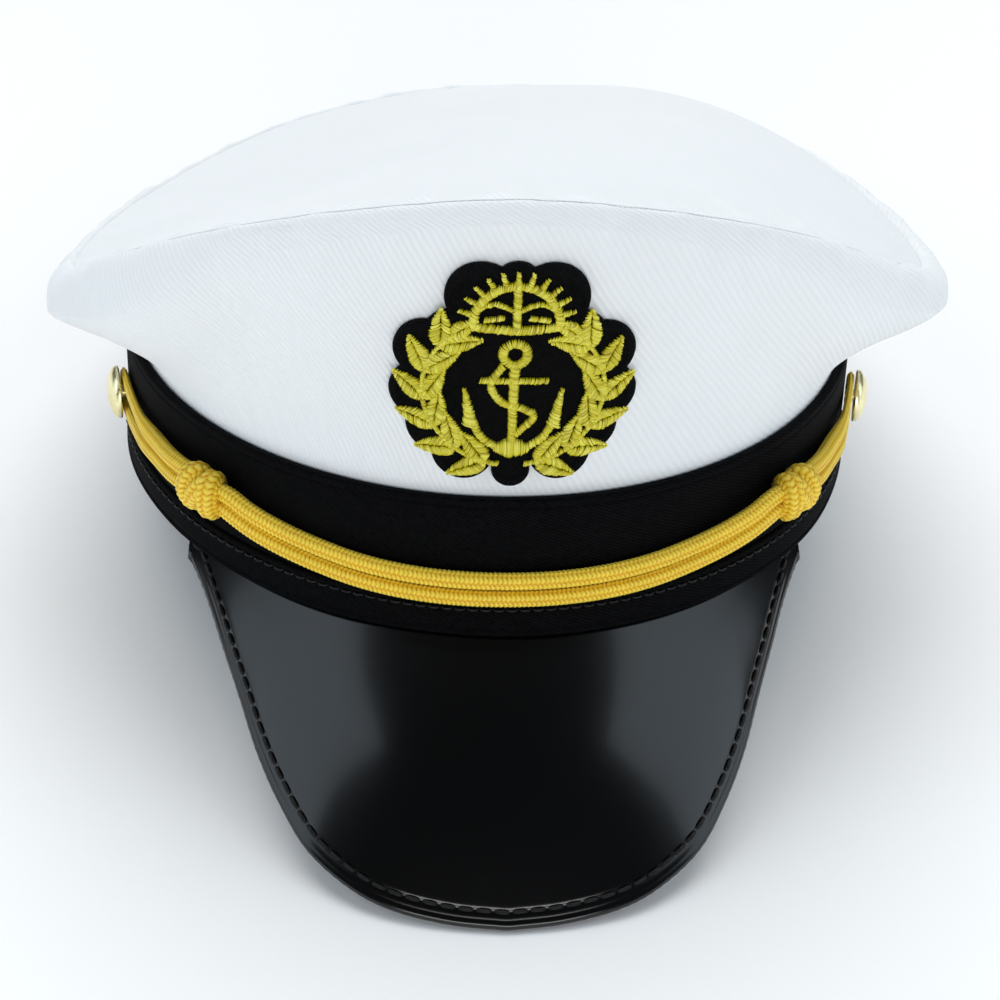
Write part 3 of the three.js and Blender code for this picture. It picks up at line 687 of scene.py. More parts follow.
class EffectLibrary:
    """Builds each shared node group once."""

    @staticmethod
    def group(effect: Effect) -> NodeTree:
        """The node group of an effect, made on first use.

        Args:
            effect: which one.

        Returns:
            Its node group.
        """
        found = bpy.data.node_groups.get(effect.value)
        if found:
            return found
        makers = {
            Effect.RIBS: EffectLibrary.ribs,
            Effect.MOTTLE: EffectLibrary.mottle,
            Effect.GRAIN: EffectLibrary.grain,
        }
        return makers[effect](bpy.data.node_groups.new(effect.value, "ShaderNodeTree"))

    @staticmethod
    def sockets(tree: NodeTree, inputs: dict, outputs: Sequence[str]) -> tuple[Node, Node]:
        """Names a group's sockets.

        Args:
            tree: the group.
            inputs: name to (kind, default).
            outputs: names of its number outputs.

        Returns:
            Its input and output nodes.
        """
        for name, (kind, default) in inputs.items():
            socket = tree.interface.new_socket(name, in_out="INPUT", socket_type=kind.value)
            if kind is Socket.NUMBER:
                socket.default_value = default
        for name in outputs:
            tree.interface.new_socket(name, in_out="OUTPUT", socket_type=Socket.NUMBER.value)
        return tree.nodes.new("NodeGroupInput"), tree.nodes.new("NodeGroupOutput")

    @staticmethod
    def ribs(tree: NodeTree) -> NodeTree:
        """Slanting ribs of a weave: Height from 0 to 1 over a UV, with the ribs' pitch in millimetres, and a
        Shade that paints the grooves between the ribs darker as painted shade.

        Args:
            tree: the empty group.

        Returns:
            The group, filled in.
        """
        build = Tree(tree)
        inner, outer = EffectLibrary.sockets(
            tree, {"UV": (Socket.VECTOR, None), "Pitch": (Socket.NUMBER, 1.0), "Slant": (Socket.NUMBER, 0.5)},
            ("Height", "Shade"),
        )
        parts = build.node("ShaderNodeSeparateXYZ")
        build.put(parts.inputs[0], inner.outputs["UV"])
        wander = build.math("MULTIPLY", build.noise(inner.outputs["UV"], 9.0), 0.006)
        along = build.math("MULTIPLY", parts.outputs["X"], build.math("SINE", inner.outputs["Slant"]))
        up = build.math("MULTIPLY", parts.outputs["Y"], build.math("COSINE", inner.outputs["Slant"]))
        place = build.math("ADD", build.math("ADD", along, up), wander)
        turns = build.math("DIVIDE", place, build.math("MULTIPLY", inner.outputs["Pitch"], UV_PER_MM))
        wave = build.math("SINE", build.math("MULTIPLY", turns, 2 * math.pi))
        height = build.scaled(wave, -1.0, 1.0, 0.0, 1.0)
        build.put(outer.inputs["Height"], height)
        # Shade is painted shade: the colour is up to 4.5% darker in the grooves between the ribs
        build.put(outer.inputs["Shade"], build.scaled(height, 0.0, 1.0, 0.955, 1.0))
        return tree

    @staticmethod
    def mottle(tree: NodeTree) -> NodeTree:
        """Slow unevenness of cloth: a Shade near 1 and a soft Height, over object coordinates.

        Args:
            tree: the empty group.

        Returns:
            The group, filled in.
        """
        build = Tree(tree)
        number = Socket.NUMBER
        inputs = {"Vector": (Socket.VECTOR, None), "Scale": (number, 20.0), "Depth": (number, 0.06)}
        inner, outer = EffectLibrary.sockets(tree, inputs, ("Shade", "Height"))
        blotch = build.noise(inner.outputs["Vector"], inner.outputs["Scale"], 3.0)
        build.put(outer.inputs["Height"], blotch)
        dark = build.math("MULTIPLY", build.math("SUBTRACT", 1.0, blotch), inner.outputs["Depth"])
        build.put(outer.inputs["Shade"], build.math("SUBTRACT", 1.0, dark))
        return tree

    @staticmethod
    def grain(tree: NodeTree) -> NodeTree:
        """Fine fibres or grain: a Height from 0 to 1 over object coordinates.

        Args:
            tree: the empty group.

        Returns:
            The group, filled in.
        """
        build = Tree(tree)
        inner, outer = EffectLibrary.sockets(
            tree, {"Vector": (Socket.VECTOR, None), "Scale": (Socket.NUMBER, 900.0)}, ("Height",)
        )
        fine = build.noise(inner.outputs["Vector"], inner.outputs["Scale"], 4.0)
        build.put(outer.inputs["Height"], fine)
        return tree


@dataclass(frozen=True)
class Finish:
    """What every finish has: a Principled shader with constants on its own sockets."""

    name: str = "finish"
    roughness: float = 0.8
    settings: tuple[tuple[str, float], ...] = ()

    def make(self) -> Material:
        """A new material whose Principled shader has the finish's settings, colour and relief."""
        material = bpy.data.materials.new(self.name)
        material.use_nodes = True
        shader = next(n for n in material.node_tree.nodes if n.type == "BSDF_PRINCIPLED")
        shader.inputs["Roughness"].default_value = self.roughness
        for socket, value in self.settings:
            shader.inputs[socket].default_value = value
        self.dress(Tree(material.node_tree), shader)
        return material

    def dress(self, build: Tree, shader: Node) -> None:
        """Sets the colour and the relief, in each finish's own way."""
        raise NotImplementedError

    def vary_roughness(self, build: Tree, shader: Node, height: object, low: float, high: float) -> None:
        """Lets the roughness follow a height, between two shares of the finish's own roughness."""
        rough = build.scaled(height, *NOISE_RANGE, self.roughness * low, self.roughness * high)
        build.put(shader.inputs["Roughness"], rough)

    @staticmethod
    def bump(build: Tree, shader: Node, heights: Sequence[tuple[object, float, float]]) -> None:
        """Chains Bump nodes into the shader's Normal.

        Args:
            build: the material's tree.
            shader: its Principled shader.
            heights: (height socket, distance in millimetres, strength) from the broadest to the finest.
        """
        before = None
        for height, distance, strength in heights:
            made = build.node("ShaderNodeBump")
            made.inputs["Strength"].default_value = strength
            made.inputs["Distance"].default_value = distance * MM
            build.put(made.inputs["Height"], height)
            if before is not None:
                build.put(made.inputs["Normal"], before)
            before = made.outputs["Normal"]
        build.put(shader.inputs["Normal"], before)


@dataclass(frozen=True)
class TwillFinish(Finish):
    """White diagonal twill, with painted shade in the grooves between its ribs."""

    colour: Triple = (0.86, 0.885, 0.9)
    pitch: float = 0.88
    slant: float = math.pi / 4

    def dress(self, build: Tree, shader: Node) -> None:
        """Sets the colour and the relief."""
        place = build.node("ShaderNodeTexCoord")
        ribs = build.effect(Effect.RIBS, UV=place.outputs["UV"], Pitch=self.pitch, Slant=self.slant)
        mottle = build.on_object(Effect.MOTTLE, Scale=28.0, Depth=0.05)
        # the ribs' Shade is painted shade in the grooves; the mottle's Shade is a random tone of the cloth
        shade = build.math("MULTIPLY", ribs.outputs["Shade"], mottle.outputs["Shade"])
        build.put(shader.inputs["Base Color"], build.tinted((*self.colour,), shade))
        grain = build.on_object(Effect.GRAIN, Scale=1500.0)
        self.bump(build, shader, (
            (mottle.outputs["Height"], 0.9, 0.5),
            (ribs.outputs["Height"], 0.16, 0.55),
            (grain.outputs["Height"], 0.05, 0.3),
        ))


@dataclass(frozen=True)
class BandFinish(Finish):
    """Matte black cloth with a fine upright weave and a little lint, its colour lighter on the weave's ribs
    and darker between them as painted shade.
    """

    dark: Triple = (0.0006, 0.0006, 0.0008)
    light: Triple = (0.0042, 0.0044, 0.0052)
    pitch: float = 0.7

    def dress(self, build: Tree, shader: Node) -> None:
        """Sets the colour and the relief."""
        place = build.node("ShaderNodeTexCoord")
        ribs = build.effect(Effect.RIBS, UV=place.outputs["UV"], Pitch=self.pitch, Slant=0.4)
        grain = build.on_object(Effect.GRAIN, Scale=1100.0)
        # weave scales the lint grain by rib height: painted shade in the grooves and lighter ribs, over the
        # grain's real random tone
        weave = build.scaled(ribs.outputs["Height"], 0.0, 1.0, 0.5, 1.3)
        share = build.math("MULTIPLY", grain.outputs["Height"], weave)
        build.put(shader.inputs["Base Color"], build.ramp(share, ((0.3, self.dark), (0.75, self.light))))
        self.bump(build, shader, ((ribs.outputs["Height"], 0.1, 0.4), (grain.outputs["Height"], 0.08, 0.5)))


@dataclass(frozen=True)
class PatentFinish(Finish):
    """Black patent sheet: a glossy coat over a smooth dark ground, with slow waves and faint dust."""

    dark: Triple = (0.0004, 0.0005, 0.0006)
    light: Triple = (0.0012, 0.0014, 0.0018)

    def dress(self, build: Tree, shader: Node) -> None:
        """Sets the colour and the relief."""
        mottle = build.on_object(Effect.MOTTLE, Scale=16.0, Depth=0.2)
        grain = build.on_object(Effect.GRAIN, Scale=420.0)
        colour = build.ramp(mottle.outputs["Height"], ((0.3, self.dark), (0.8, self.light)))
        build.put(shader.inputs["Base Color"], colour)
        self.vary_roughness(build, shader, grain.outputs["Height"], 0.95, 1.05)
        self.bump(build, shader, (
            (mottle.outputs["Height"], 0.35, 0.12),
            (grain.outputs["Height"], 0.002, 0.08),
        ))


@dataclass(frozen=True)
class YarnFinish(Finish):
    """Yarn coloured by the mesh's relief: on the knitted cord its ridges get a painted highlight and the gaps
    between them painted shade; on other threads the relief is one tone a thread.
    """

    # These defaults are the cord's: low is its painted shade colour in the gaps, high its painted highlight
    # colour on the ridges
    low: Triple = (0.52, 0.19, 0.0)
    middle: Triple = (0.92, 0.57, 0.012)
    high: Triple = (0.98, 0.77, 0.09)
    fibre: float = 1400.0

    def dress(self, build: Tree, shader: Node) -> None:
        """Sets the colour and the relief."""
        relief = build.node("ShaderNodeAttribute", attribute_name="relief")
        mottle = build.on_object(Effect.MOTTLE, Scale=160.0, Depth=0.16)
        grain = build.on_object(Effect.GRAIN, Scale=self.fibre)
        # on the cord, low gives painted shade in the grooves and high a painted highlight on the stitch tops
        colour = build.ramp(relief.outputs["Fac"], ((0.1, self.low), (0.5, self.middle), (0.95, self.high)))
        build.put(shader.inputs["Base Color"], build.tinted(colour, mottle.outputs["Shade"]))
        self.vary_roughness(build, shader, grain.outputs["Height"], 0.9, 1.1)
        self.bump(build, shader, ((grain.outputs["Height"], 0.05, 0.4),))


@dataclass(frozen=True)
class BrassFinish(Finish):
    """Pale gold plate with faint tarnish and fine scratches."""

    bright: Triple = (0.95, 0.89, 0.55)
    dull: Triple = (0.78, 0.7, 0.34)

    def dress(self, build: Tree, shader: Node) -> None:
        """Sets the colour and the relief."""
        mottle = build.on_object(Effect.MOTTLE, Scale=170.0, Depth=0.2)
        grain = build.on_object(Effect.GRAIN, Scale=900.0)
        colour = build.ramp(mottle.outputs["Height"], ((0.3, self.dull), (0.6, self.bright)))
        build.put(shader.inputs["Base Color"], colour)
        self.vary_roughness(build, shader, grain.outputs["Height"], 0.7, 1.4)
        self.bump(build, shader, ((grain.outputs["Height"], 0.01, 0.25),))


@dataclass(frozen=True)
class FeltFinish(Finish):
    """Black felt, ribbed like close stitching where the UV runs across the patch's edge, its colour lighter
    on those ribs and darker between them as painted shade.
    """

    dark: Triple = (0.0006, 0.0006, 0.0007)
    light: Triple = (0.004, 0.004, 0.0048)

    def dress(self, build: Tree, shader: Node) -> None:
        """Sets the colour and the relief."""
        place = build.node("ShaderNodeTexCoord")
        parts = build.node("ShaderNodeSeparateXYZ")
        build.put(parts.inputs[0], place.outputs["UV"])
        edge = build.scaled(parts.outputs["Y"], 1.5 * UV_PER_MM, 2.1 * UV_PER_MM, 1.0, 0.0)
        ribs = build.effect(Effect.RIBS, UV=place.outputs["UV"], Pitch=0.55, Slant=math.pi / 2)
        stitched = build.math("MULTIPLY", ribs.outputs["Height"], edge)
        grain = build.on_object(Effect.GRAIN, Scale=1300.0)
        # the stitch ribs' height lightens the colour on the ribs as painted shade between them; the grain is
        # a random tone of the felt
        share = build.math("ADD", build.math("MULTIPLY", stitched, 0.35), grain.outputs["Height"])
        build.put(shader.inputs["Base Color"], build.ramp(share, ((0.4, self.dark), (0.95, self.light))))
        self.bump(build, shader, ((stitched, 0.35, 0.8), (grain.outputs["Height"], 0.22, 0.7)))


@dataclass(frozen=True)
class FloorFinish(Finish):
    """Plain pale backdrop paper."""

    colour: Triple = (0.93, 0.93, 0.93)

    def dress(self, build: Tree, shader: Node) -> None:
        """Sets the colour and the relief."""
        mottle = build.on_object(Effect.MOTTLE, Scale=2.0, Depth=0.01)
        build.put(shader.inputs["Base Color"], build.tinted((*self.colour,), mottle.outputs["Shade"]))


@dataclass
class Finishes:
    """All the finishes of the cap, made once."""

    twill: Material = field(init=False)
    band: Material = field(init=False)
    patent: Material = field(init=False)
    black_thread: Material = field(init=False)
    cord: Material = field(init=False)
    brass: Material = field(init=False)
    felt: Material = field(init=False)
    gold_thread: Material = field(init=False)
    floor: Material = field(init=False)

    def __post_init__(self) -> None:
        """Makes each material."""
        sheen, level = "Sheen Weight", "Specular IOR Level"
        self.twill = TwillFinish("white_twill", 0.78, ((sheen, 0.15), (level, 0.3))).make()
        self.band = BandFinish("black_band", 0.8, ((level, 0.05),)).make()
        self.patent = PatentFinish(
            "patent_peak", 0.2, ((level, 0.4), ("Coat Weight", 0.12), ("Coat Roughness", 0.1)),
        ).make()
        self.black_thread = YarnFinish(
            "black_thread", 0.5, ((level, 0.25),),
            (0.0006, 0.0006, 0.0006), (0.0014, 0.0014, 0.0016), (0.003, 0.003, 0.0035),
        ).make()
        self.cord = YarnFinish("gold_cord", 0.5, ((sheen, 0.04), (level, 0.35))).make()
        self.brass = BrassFinish("button_metal", 0.34, (("Metallic", 1.0),)).make()
        self.felt = FeltFinish("badge_felt", 0.95, ((level, 0.1),)).make()
        self.gold_thread = YarnFinish(
            "badge_thread", 0.34, ((level, 0.7),),
            (0.46, 0.38, 0.001), (0.68, 0.6, 0.004), (0.86, 0.82, 0.1),
        ).make()
        self.floor = FloorFinish("backdrop", 0.9, ((level, 0.1),)).make()


@dataclass
class Crown:
    """The white twill crown: a side panel and a domed top panel that meet in a narrow puckered seam."""

    finishes: Finishes
    columns: int = 300
    side_rows: int = 84
    inner_step: int = 3
    top_rows: int = 54
    seam_dip: float = 1.0
    seam_width: float = 0.9
    seam_reach: float = 0.0032
    pucker_depth: float = 0.5
    pucker_run: float = 9.0
    slack: float = 0.3
    rib_angle: float = 37.0
    rib_change: float = 14.0
    mean_radius: float = 98.0
    seam_zone: float = 0.06
    free_rows: float = 0.935

    def puckers(self, degrees: Array, distance: Array, shift: float) -> Array:
        """Small gathers that fade away from the top seam.

        Args:
            degrees: angles round the head.
            distance: distance from the seam in millimetres.
            shift: moves the gathers, so that the two panels differ.

        Returns:
            Heights in millimetres.
        """
        turn = np.radians(degrees)
        wave = np.sin(38 * turn + 1.7 * np.sin(5 * turn + shift) + shift)
        wave = wave + 0.7 * np.sin(67 * turn + 2 * np.sin(3 * turn) + 2 * shift)
        patchy = 0.45 + 0.55 * np.sin(4 * turn + shift) ** 2
        calm = 1 - 0.5 * smoothstep(np.abs(degrees), 60, 90)
        fade = np.exp(-(distance / self.pucker_run) ** 2)
        return self.pucker_depth * calm * wave * patchy * fade * smoothstep(distance, 0, 2)

    def slackness(self, degrees: Array, share: Array) -> Array:
        """Slow unevenness of the hanging cloth, least at the front panel.

        Args:
            degrees: angles round the head.
            share: place between the crown's mouth and its top seam, 0 to 1.

        Returns:
            Heights in millimetres.
        """
        turn = np.radians(degrees)
        wave = np.sin(7 * turn + 3 * share) + 0.8 * np.sin(11 * turn - 5 * share + 1)
        wave = wave + 0.5 * np.sin(19 * turn + 6 * share + 2)
        loose = 0.25 + 0.75 * smoothstep(np.abs(degrees), 25, 60)
        return self.slack * wave * loose * np.sin(np.pi * np.clip(share, 0, 1)) ** 0.8

    def side_points(self) -> Array:
        """The points of the side panel's outer face."""
        degrees = ring_angles(self.columns)
        free = np.linspace(0, 1, self.side_rows)
        near_seam = 1 - self.seam_zone * (1 - np.linspace(0, 1, 9)[1:]) ** 1.3
        share = np.concatenate((free[free < self.free_rows], near_seam))
        t = np.concatenate(([0, 0.5 * FORM.tuck_share], FORM.tuck_share + (1 - FORM.tuck_share) * share))
        grid_t, grid_deg = np.meshgrid(t, degrees, indexing="ij")
        reach, z = FORM.crown_line(grid_deg, grid_t)
        points = FORM.around(grid_deg, reach, z)
        normals = grid_normals(points, True)
        length = arc_lengths(points, 0)
        to_seam = length[-1] - length
        in_share = np.clip((grid_t - FORM.tuck_share) / (1 - FORM.tuck_share), 0, 1)
        lift = self.puckers(grid_deg, to_seam, 0.6) + self.slackness(grid_deg, in_share)
        lift = lift - self.seam_dip * np.exp(-(to_seam / self.seam_width) ** 2)
        return points + normals * (lift * (grid_t > FORM.tuck_share))[..., None]

    def twill_line(self) -> Array:
        """Places along the side for the twill's UV, set so that the ribs flatten from -X to +X."""
        degrees = np.linspace(-180, 180, self.columns + 1)
        slope = np.tan(np.radians(self.rib_angle - self.rib_change * np.tanh(degrees / 40)))
        return np.cumsum(slope) * 2 * math.pi * self.mean_radius / self.columns

    def build_side(self) -> Object:
        """The side panel, from behind the band up to the seam, with its wall thickness."""
        outer = self.side_points()
        normals = grid_normals(outer, True)
        inner = (outer - normals * FORM.crown_wall)[:: -self.inner_step]
        points = np.concatenate((outer, inner))
        around = self.twill_line()
        heights = arc_lengths(outer, 0).mean(axis=1)
        rows_uv = np.concatenate((heights, heights[:: -self.inner_step], heights[:1]))
        parts = MeshParts()
        parts.grid(points, uv_grid(around, rows_uv), wrap_rows=True)
        return parts.build("crown_side_cloth", self.finishes.twill, "white_twill", ("crown_side",))

    def build_top(self) -> Object:
        """The domed top panel."""
        degrees = ring_angles(self.columns)
        free = np.linspace(0.02, 0.965, self.top_rows)
        share = np.concatenate((free, 1 - 0.03 * (1 - np.linspace(0, 1, 9)[1:]) ** 1.4))
        grid_share, grid_deg = np.meshgrid(share, degrees, indexing="ij")
        points = FORM.crown_top(grid_deg, grid_share)
        from_edge = (1 - grid_share) * np.linalg.norm(points[-1, :, :2], axis=-1)
        lift = self.puckers(grid_deg, from_edge, 2.1)
        lift = lift - 0.5 * self.seam_dip * np.exp(-(from_edge / self.seam_width) ** 2)
        turn = np.radians(grid_deg)
        wave = np.sin(3 * turn + 1) + 0.6 * np.sin(5 * turn + 4 * grid_share)
        lift = lift + 0.5 * np.sin(np.pi * grid_share) * wave
        points[..., 2] += lift
        # the panel's last millimetre reaches over the gap, into the seam
        closing = np.clip(1 - from_edge / 1.0, 0, 1)[..., None]
        points[..., :2] *= 1 + self.seam_reach * closing
        inner = points.copy()
        inner[..., 2] -= FORM.crown_wall
        rows = np.concatenate((points, inner[::-3]))
        flat = np.concatenate((rows[..., :2], rows[:, :1, :2]), axis=1)
        parts = MeshParts()
        parts.grid(rows, flat, poles=True)
        return parts.build("crown_top_cloth", self.finishes.twill, "white_twill", ("crown_top",))


@dataclass
class Band:
    """The black band round the head with the folded strip along its lower edge."""

    finishes: Finishes
    columns: int = 320
    hem_proud: float = 1.2
    hem_taper: float = 0.4
    rounding: float = 0.7
    groove_depth: float = 0.3
    thread_radius: float = 0.28
    stitch_pitch: float = 3.0
    stitch_height: float = 6.4
    stitch_share: float = 0.36
    press_line: float = 1.5
    top_line: float = 30.2
    mean_radius: float = 96.0
    stitch_ring: float = 97.0

    def profile(
        self, face: float, inside: float, low: float, high: float, grooves: Sequence[float], lean: float,
    ) -> Array:
        """A closed strip section with rounded outer corners.

        Args:
            face: reach of its outer face at the bottom.
            inside: reach of its inner face.
            low: height of its lower edge.
            high: height of its upper edge.
            grooves: heights of fine pressed lines in its outer face.
            lean: how far the outer face leans in at the top.

        Returns:
            (n, 2) reach and height, anticlockwise.
        """
        r = self.rounding
        turn = np.linspace(0, np.pi / 2, 6)
        near = [g + np.linspace(-0.9, 0.9, 9) for g in grooves]
        z = np.unique(np.concatenate([np.linspace(low + r, high - r, 30), *near]))
        z = z[(z >= low + r) & (z <= high - r)]
        x = face - lean * (z - low) / (high - low)
        for g in grooves:
            x = x - self.groove_depth * np.exp(-(((z - g) / 0.35) ** 2))
        bottom = np.stack((face - r + r * np.sin(turn), low + r - r * np.cos(turn)), axis=1)
        top_face = face - lean
        top = np.stack((top_face - r + r * np.cos(turn), high - r + r * np.sin(turn)), axis=1)
        middle = (high + low) / 2
        back = np.array([[inside, high - 0.2], [inside, middle], [inside, low + 0.2], [inside + 0.2, low]])
        return np.concatenate((bottom[:-1], np.stack((x, z), axis=1), top[1:], [[inside + 0.2, high]], back))

    def sweep(self, name: str, section: Array, node: str) -> Object:
        """Turns a section round the head as one piece of band cloth.

        Args:
            name: the piece's name.
            section: (n, 2) reach and height.
            node: the CAD node that it stands for.

        Returns:
            The object.
        """
        degrees = ring_angles(self.columns)
        reach, deg = np.meshgrid(section[:, 0], degrees, indexing="ij")
        z = np.repeat(section[:, 1:], self.columns, axis=1)
        turn = np.radians(deg)
        waver = 0.1 * (np.sin(9 * turn) + 0.7 * np.sin(14 * turn + 1 + 0.1 * z)) * (reach > -0.6)
        points = FORM.around(deg, reach + waver, z)
        across = line_lengths(np.concatenate((section, section[:1])))
        parts = MeshParts()
        parts.grid(points, uv_grid(ring_lengths(self.columns, self.mean_radius), across), wrap_rows=True)
        return parts.build(name, self.finishes.band, "black_band", (node,))

    def build_stitches(self) -> Object:
        """The line of thread that holds the hem's fold."""
        count = int(2 * math.pi * self.stitch_ring / self.stitch_pitch)
        middle = np.arange(count) / count * 360 - 180
        half = self.stitch_share * 360 / count
        share = np.linspace(-1, 1, 7)
        degrees = middle[:, None] + half * share
        face = self.hem_proud * (1 - self.hem_taper * self.stitch_height / FORM.hem_height)
        reach = face + self.thread_radius * (0.75 - 1.6 * share**4)
        paths = FORM.around(degrees, np.broadcast_to(reach, degrees.shape), self.stitch_height)
        parts = MeshParts()
        radii = np.full(degrees.shape, self.thread_radius)
        parts.tubes(paths, FORM.outwards(degrees), radii, np.full(count, 0.8), 6)
        return parts.build("hem_stitches", self.finishes.black_thread, "black_band")

    def build(self) -> None:
        """The band, the hem and the hem's stitches."""
        low = FORM.hem_height + FORM.gap
        inside, lean = -FORM.band_wall, self.hem_proud * self.hem_taper
        band = self.profile(0, inside, low - 0.2, FORM.band_height, (self.top_line,), 0)
        grooves = (self.press_line, self.stitch_height)
        hem = self.profile(self.hem_proud, inside, 0, FORM.hem_height, grooves, lean)
        self.sweep("band_cloth", band, "band")
        self.sweep("band_hem_strip", hem, "band_hem")
        self.build_stitches()


class PeakEdgeRow(NamedTuple):
    """One row of the peak's edge: shares of its half width and of its reach forward."""

    across: float
    forward: float


PEAK_EDGE = tuple(PeakEdgeRow(*row) for row in (
    (0, 1), (0.17, 0.985), (0.34, 0.95), (0.47, 0.895), (0.6, 0.8), (0.69, 0.68), (0.762, 0.55), (0.82, 0.41),
    (0.875, 0.28), (0.937, 0.13), (1, 0),
))


PEAK_ROWS = np.array([
    0, 0.08, 0.25, 0.5, 0.8, 1.1, 1.35, 1.55, 1.72, 1.9, 2.08, 2.25, 2.5, 2.8,
    3.05, 3.28, 3.5, 3.7, 3.9, 4.12, 4.35, 4.6, 4.95, 5.6, 6.5, 7.8, 9.4, 11.5,
])


@dataclass
class Peak:
    """The patent peak: a curved sheet with a rolled edge, a pressed line and a row of stitches along it."""

    finishes: Finishes
    spread: float = 52.0
    reach: float = 41.0
    drop: float = 45.0
    wall: float = 2.2
    side: float = 4.0
    cross_bulge: float = 3.0
    columns: int = 200
    hem_rows: int = 26
    line_inset: float = 1.9
    line_press: float = 0.07
    line_width: float = 0.32
    stitch_inset: float = 3.7
    stitch_press: float = 0.22
    stitch_width: float = 0.55
    stitch_pitch: float = 3.7
    stitch_share: float = 0.37
    stitch_step: float = 0.3
    thread_radius: float = 0.46

    def face(self, u: Array, v: Array) -> Array:
        """The upper face.

        Args:
            u: place along it, 0 at the +X corner and 1 at the -X one.
            v: place across it, 0 at the hem and 1 at the edge.

        Returns:
            Points of the shape of u and v, with one axis more.
        """
        u, v = np.broadcast_arrays(np.asarray(u, float), np.asarray(v, float))
        across = 1 - 2 * u
        root = FORM.around(self.spread * across, 0, -FORM.gap)
        corner = FORM.around(np.float64(self.spread), 0, -FORM.gap)
        fine = catmull(PEAK_EDGE, 600)
        at = np.abs(across) * 600
        index = np.arange(601)
        width, forward = np.interp(at, index, fine[:, 0]), np.interp(at, index, fine[:, 1])
        long = FORM.half_depth + self.reach + corner[1] - self.side
        drop = self.drop * (self.side + long * forward) / (self.side + long)
        edge = np.stack((
            corner[0] * np.sign(across) * width, corner[1] - self.side - long * forward, -drop,
        ), axis=-1)
        bulge = self.cross_bulge * np.sin(np.pi * v) * forward / math.sqrt(2)
        points = root + (edge - root) * v[..., None]
        return points + np.stack((0 * bulge, -bulge, bulge), axis=-1)

    def edge_distance(self, points: Array) -> Array:
        """How far points lie from the peak's outer edge.

        Args:
            points: (..., 3) in the cap's frame.

        Returns:
            (...) distances in millimetres.
        """
        edge = self.face(np.linspace(0, 1, 500), 1.0)
        flat = points.reshape(-1, 3)
        near = np.empty(len(flat))
        for start in range(0, len(flat), 4000):
            part = flat[start:start + 4000]
            near[start:start + 4000] = np.linalg.norm(part[:, None] - edge[None], axis=-1).min(axis=1)
        return near.reshape(points.shape[:-1])

    def rows(self, u: Array) -> Array:
        """Where the rows lie: PEAK_ROWS millimetres from the edge, and from there evenly to the hem.

        Args:
            u: (columns,) places along the peak.

        Returns:
            (rows, columns) numbers v.
        """
        fine = np.linspace(0, 1, 160)
        points = self.face(u[None, :], fine[:, None])
        distance = self.edge_distance(points)
        distance[-1] = 0
        v = np.empty((len(PEAK_ROWS) + self.hem_rows, len(u)))
        for k in range(len(u)):
            falling = np.maximum.accumulate(distance[::-1, k])
            room = min(1.0, falling[-1] * 0.92 / PEAK_ROWS[-1])
            near = 1 - np.interp(PEAK_ROWS * room, falling + np.arange(len(fine)) * 1e-7, fine)
            rest = np.linspace(0, near[-1], self.hem_rows + 1)[:-1]
            v[:, k] = np.concatenate((rest, near[::-1]))
        return v

    def build_sheet(self) -> Object:
        """The sheet itself."""
        u = np.linspace(0, 1, self.columns)
        v = self.rows(u)
        points = self.face(np.broadcast_to(u, v.shape), v)
        normals = grid_normals(points, False)
        normals = normals * np.sign(normals[..., 2:3] + 1e-9)
        distance = self.edge_distance(points)
        distance[-1] = 0
        radius = self.wall / 2
        inset = np.clip(radius - distance, 0, radius)
        rolled = radius - np.sqrt(np.maximum(radius**2 - inset**2, 0))
        press = self.line_press * np.exp(-(((distance - self.line_inset) / self.line_width) ** 2))
        off_stitches = (distance - self.stitch_inset) / self.stitch_width
        press = press + self.stitch_press * np.exp(-(off_stitches**2))
        outer = points - normals * (rolled + press)[..., None]
        inner = points - normals * (self.wall - rolled)[..., None]
        sheet = np.concatenate((outer, inner[::-1]))
        length = arc_lengths(points, 1)
        both = np.concatenate((distance, -distance[::-1], distance[:1]))
        along = np.concatenate((length, length[::-1], length[:1]))
        parts = MeshParts()
        parts.grid(sheet, np.stack((along, both), axis=-1), wrap_rows=True, wrap_columns=False)
        rows = len(v)
        for column in (0, self.columns - 1):
            k = np.arange(rows - 1)
            quad = np.stack((k, k + 1, 2 * rows - 2 - k, 2 * rows - 1 - k), axis=1) * self.columns + column
            parts.faces.append(quad)
            parts.uvs.append(np.zeros((len(quad), 4, 2)))
        return parts.build("peak_sheet", self.finishes.patent, "patent_peak", ("peak",), sharp=50)

    def build_stitches(self) -> Object:
        """Black thread in the pressed line."""
        u = np.linspace(0, 1, 500)
        fine = np.linspace(0.02, 1, 160)
        points = self.face(u[None, :], fine[:, None])
        distance = self.edge_distance(points)
        line = []
        for k in range(len(u)):
            falling = np.maximum.accumulate(distance[::-1, k])
            if falling[-1] > self.stitch_inset:
                v = 1 - np.interp(self.stitch_inset, falling + np.arange(len(fine)) * 1e-7, 1 - fine[::-1])
                line.append(self.face(u[k], v))
        path = even(np.array(line), self.stitch_step)
        lengths = np.arange(len(path)) * self.stitch_step
        count = int(lengths[-1] / self.stitch_pitch)
        share = np.linspace(-1, 1, 9)
        middles = (np.arange(count)[:, None] + 0.5) * self.stitch_pitch
        at = middles + share * self.stitch_pitch * self.stitch_share
        paths = np.stack([np.interp(at, lengths, path[:, k]) for k in range(3)], axis=-1)
        along = unit(np.gradient(paths, axis=1))
        outward = unit(paths * np.array([1, 1, 0]) + np.array([0, 0, 100]))
        out = unit(outward - along * np.sum(outward * along, axis=-1, keepdims=True))
        paths = paths + out * (self.thread_radius * (0.35 - 1.5 * share**4))[None, :, None]
        parts = MeshParts()
        parts.tubes(paths, out, np.full(at.shape, self.thread_radius), np.full(count, 0.9), 7)
        return parts.build("peak_stitches", self.finishes.black_thread, "patent_peak")

    def build(self) -> None:
        """The sheet and its stitches."""
        self.build_sheet()
        self.build_stitches()


